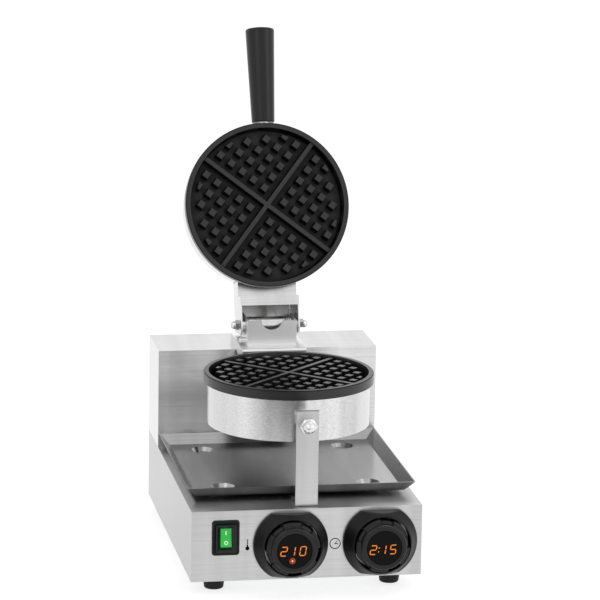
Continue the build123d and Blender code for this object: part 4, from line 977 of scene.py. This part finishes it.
@dataclass(frozen=True)
class Studio:
    """Camera, lights, floor and surroundings, in metres and degrees.

    Args:
        position: the camera's place.
        azimuth: where it stands around the machine, from the front.
        elevation: how far it looks down.
        roll: how far it leans to the side.
        focal: its focal length in millimetres.
        sensor: its sensor's side in millimetres.
        clip: nearest and farthest distance that it sees.
        front_range: directions from the front backward over which the room's tone changes.
        front_span: the room's tone at the ends of that range.
        side_range: directions from the left to the right over which it changes too.
        side_span: how much, at the ends of that range.
        floor_half: half the floor's side.
        floor_drop: how far the floor lies under the machine's feet.
        floor_glow: how much the floor shines where it is seen.
        card_low: the dark card's front left corner.
        card_high: its back right corner.
        card_height: how high it lies.
        lamps: the soft lights.
        samples: rays for each pixel.
    """

    position: Point = (-0.62931, -3.65949, 1.10342)
    azimuth: float = -10.042
    elevation: float = 12.469
    roll: float = 0.9256
    focal: float = 206.94
    sensor: float = 36.0
    clip: Span = (0.1, 50.0)
    front_range: Span = (-0.95, -0.25)
    front_span: Span = (0.42, 1.0)
    side_range: Span = (-0.3, 0.5)
    side_span: Span = (0.75, 1.25)
    floor_half: float = 6.0
    floor_drop: float = 0.0005
    floor_glow: float = 0.76
    card_low: Spot = (-1.6, -2.4)
    card_high: Spot = (0.09, -0.75)
    card_height: float = 0.002
    lamps: tuple[SoftLamp, ...] = (
        SoftLamp("key", (-1.6, -1.6, 2.2), (0, 0, 0.25), (1.4, 1.4), 9),
        SoftLamp("fill", (1.8, -1.2, 1.4), (0, 0, 0.25), (1.2, 1.6), 6),
        SoftLamp("back", (0.4, 1.8, 1.8), (0, 0, 0.3), (1.6, 1.0), 5),
    )
    samples: int = 96

    def camera(self) -> None:
        """Sets the photograph's camera."""
        az, el, roll = (math.radians(a) for a in (self.azimuth, self.elevation, self.roll))
        back = Vector((math.sin(az) * math.cos(el), -math.cos(az) * math.cos(el), math.sin(el)))
        right = Vector((math.cos(az), math.sin(az), 0.0))
        up = back.cross(right)
        lean = Matrix.Rotation(roll, 3, back)
        right, up = lean @ right, lean @ up
        data = bpy.data.cameras.new("camera")
        data.lens = self.focal
        data.sensor_width = self.sensor
        data.sensor_height = self.sensor
        data.sensor_fit = "HORIZONTAL"
        data.clip_start, data.clip_end = self.clip
        obj = bpy.data.objects.new("camera", data)
        turn = Matrix((right, up, back)).transposed().to_4x4()
        obj.matrix_world = Matrix.Translation(Vector(self.position)) @ turn
        bpy.context.collection.objects.link(obj)
        bpy.context.scene.camera = obj

    def surroundings(self) -> None:
        """Makes the room: white where it is seen, a soft gradient to everything else."""
        world = bpy.data.worlds.new("studio")
        bpy.context.scene.world = world
        world.use_nodes = True
        tree = Tree(world)
        tree.nodes.clear()
        coords = tree.nodes.new("ShaderNodeTexCoord")
        split = tree.nodes.new("ShaderNodeSeparateXYZ")
        tree.links.new(coords.outputs["Generated"], split.inputs["Vector"])
        front = tree.spread(split.outputs["Y"], self.front_range, self.front_span, "SMOOTHSTEP")
        side = tree.spread(split.outputs["X"], self.side_range, self.side_span)
        gradient = tree.nodes.new("ShaderNodeBackground")
        tree.links.new(tree.reckon("MULTIPLY", front, side), gradient.inputs["Strength"])
        white = tree.nodes.new("ShaderNodeBackground")
        white.inputs["Color"].default_value = (1, 1, 1, 1)
        mix = tree.nodes.new("ShaderNodeMixShader")
        output = tree.nodes.new("ShaderNodeOutputWorld")
        tree.links.new(tree.seen(), mix.inputs["Fac"])
        tree.links.new(gradient.outputs["Background"], mix.inputs[1])
        tree.links.new(white.outputs["Background"], mix.inputs[2])
        tree.links.new(mix.outputs["Shader"], output.inputs["Surface"])

    def floor(self) -> bpy.types.Object:
        """Lays the pale floor, which is white where it is seen and keeps the machine's shadow.

        Returns:
            The floor.
        """
        build = bmesh.new()
        bmesh.ops.create_grid(build, x_segments=1, y_segments=1, size=self.floor_half)
        place = Matrix.Translation((0.0, 0.0, -self.floor_drop))
        obj = finished("floor", build, place, "floor", FLOOR_WHITE)
        tree = Tree(obj.data.materials[0])
        glow = tree.nodes.new("ShaderNodeEmission")
        both = tree.nodes.new("ShaderNodeAddShader")
        tree.links.new(tree.reckon("MULTIPLY", tree.seen(), self.floor_glow), glow.inputs["Strength"])
        tree.links.new(tree.nodes["Principled BSDF"].outputs["BSDF"], both.inputs[0])
        tree.links.new(glow.outputs["Emission"], both.inputs[1])
        tree.links.new(both.outputs["Shader"], tree.nodes["Material Output"].inputs["Surface"])
        return obj

    def card(self) -> bpy.types.Object:
        """Lays a dark card on the floor in front, for the darker left half of the upright faces.

        Returns:
            The card, which the camera doesn't see.
        """
        build = bmesh.new()
        bmesh.ops.create_grid(build, x_segments=1, y_segments=1, size=0.5)
        middle = [(low + high) / 2 for low, high in zip(self.card_low, self.card_high)]
        sides = [high - low for low, high in zip(self.card_low, self.card_high)]
        place = Matrix.Translation((*middle, self.card_height)) @ Matrix.Diagonal((*sides, 1.0, 1.0))
        obj = finished("dark_card", build, place, "dark_card", CARD_BLACK)
        obj.visible_camera = False
        return obj

    def build(self) -> list[bpy.types.Object]:
        """Sets up the whole studio and returns what lies on its floor."""
        self.camera()
        self.surroundings()
        pieces = [self.floor(), self.card()]
        for lamp in self.lamps:
            lamp.build()
        scene = bpy.context.scene
        scene.render.engine = "CYCLES"
        scene.view_settings.view_transform = "Standard"
        scene.cycles.samples = self.samples
        return pieces


class Machine:
    """The CAD nodes with their finishes."""

    def build(self) -> list[bpy.types.Object]:
        """Gives every CAD node the material of its slot, or its own material whose colour paints in the
        part's light and shade, and returns the nodes.
        """
        slots = {part["node"]: part["material_slot"] for part in frame["record"]["subparts"]}
        for node, obj in frame["nodes"].items():
            slot = slots[node]
            # A part's own finish carries painted light and shade in its colour.
            own = PAINTED_LIGHT_PART_FINISHES.get(node)
            obj.data.materials.clear()
            obj.data.materials.append(SHOP.get(node, own) if own else SHOP.get(slot, FINISHES[slot]))
        return list(frame["nodes"].values())


def main() -> None:
    """Builds the scene and reports each piece."""
    for group in (Machine(), TEMPERATURE, TIMER, CapNut(), LeadSleeve(), Signs(), Studio()):
        for piece in group.build():
            LOG.info("%s is in place", piece.name)


if __name__ == "__main__":
    main()
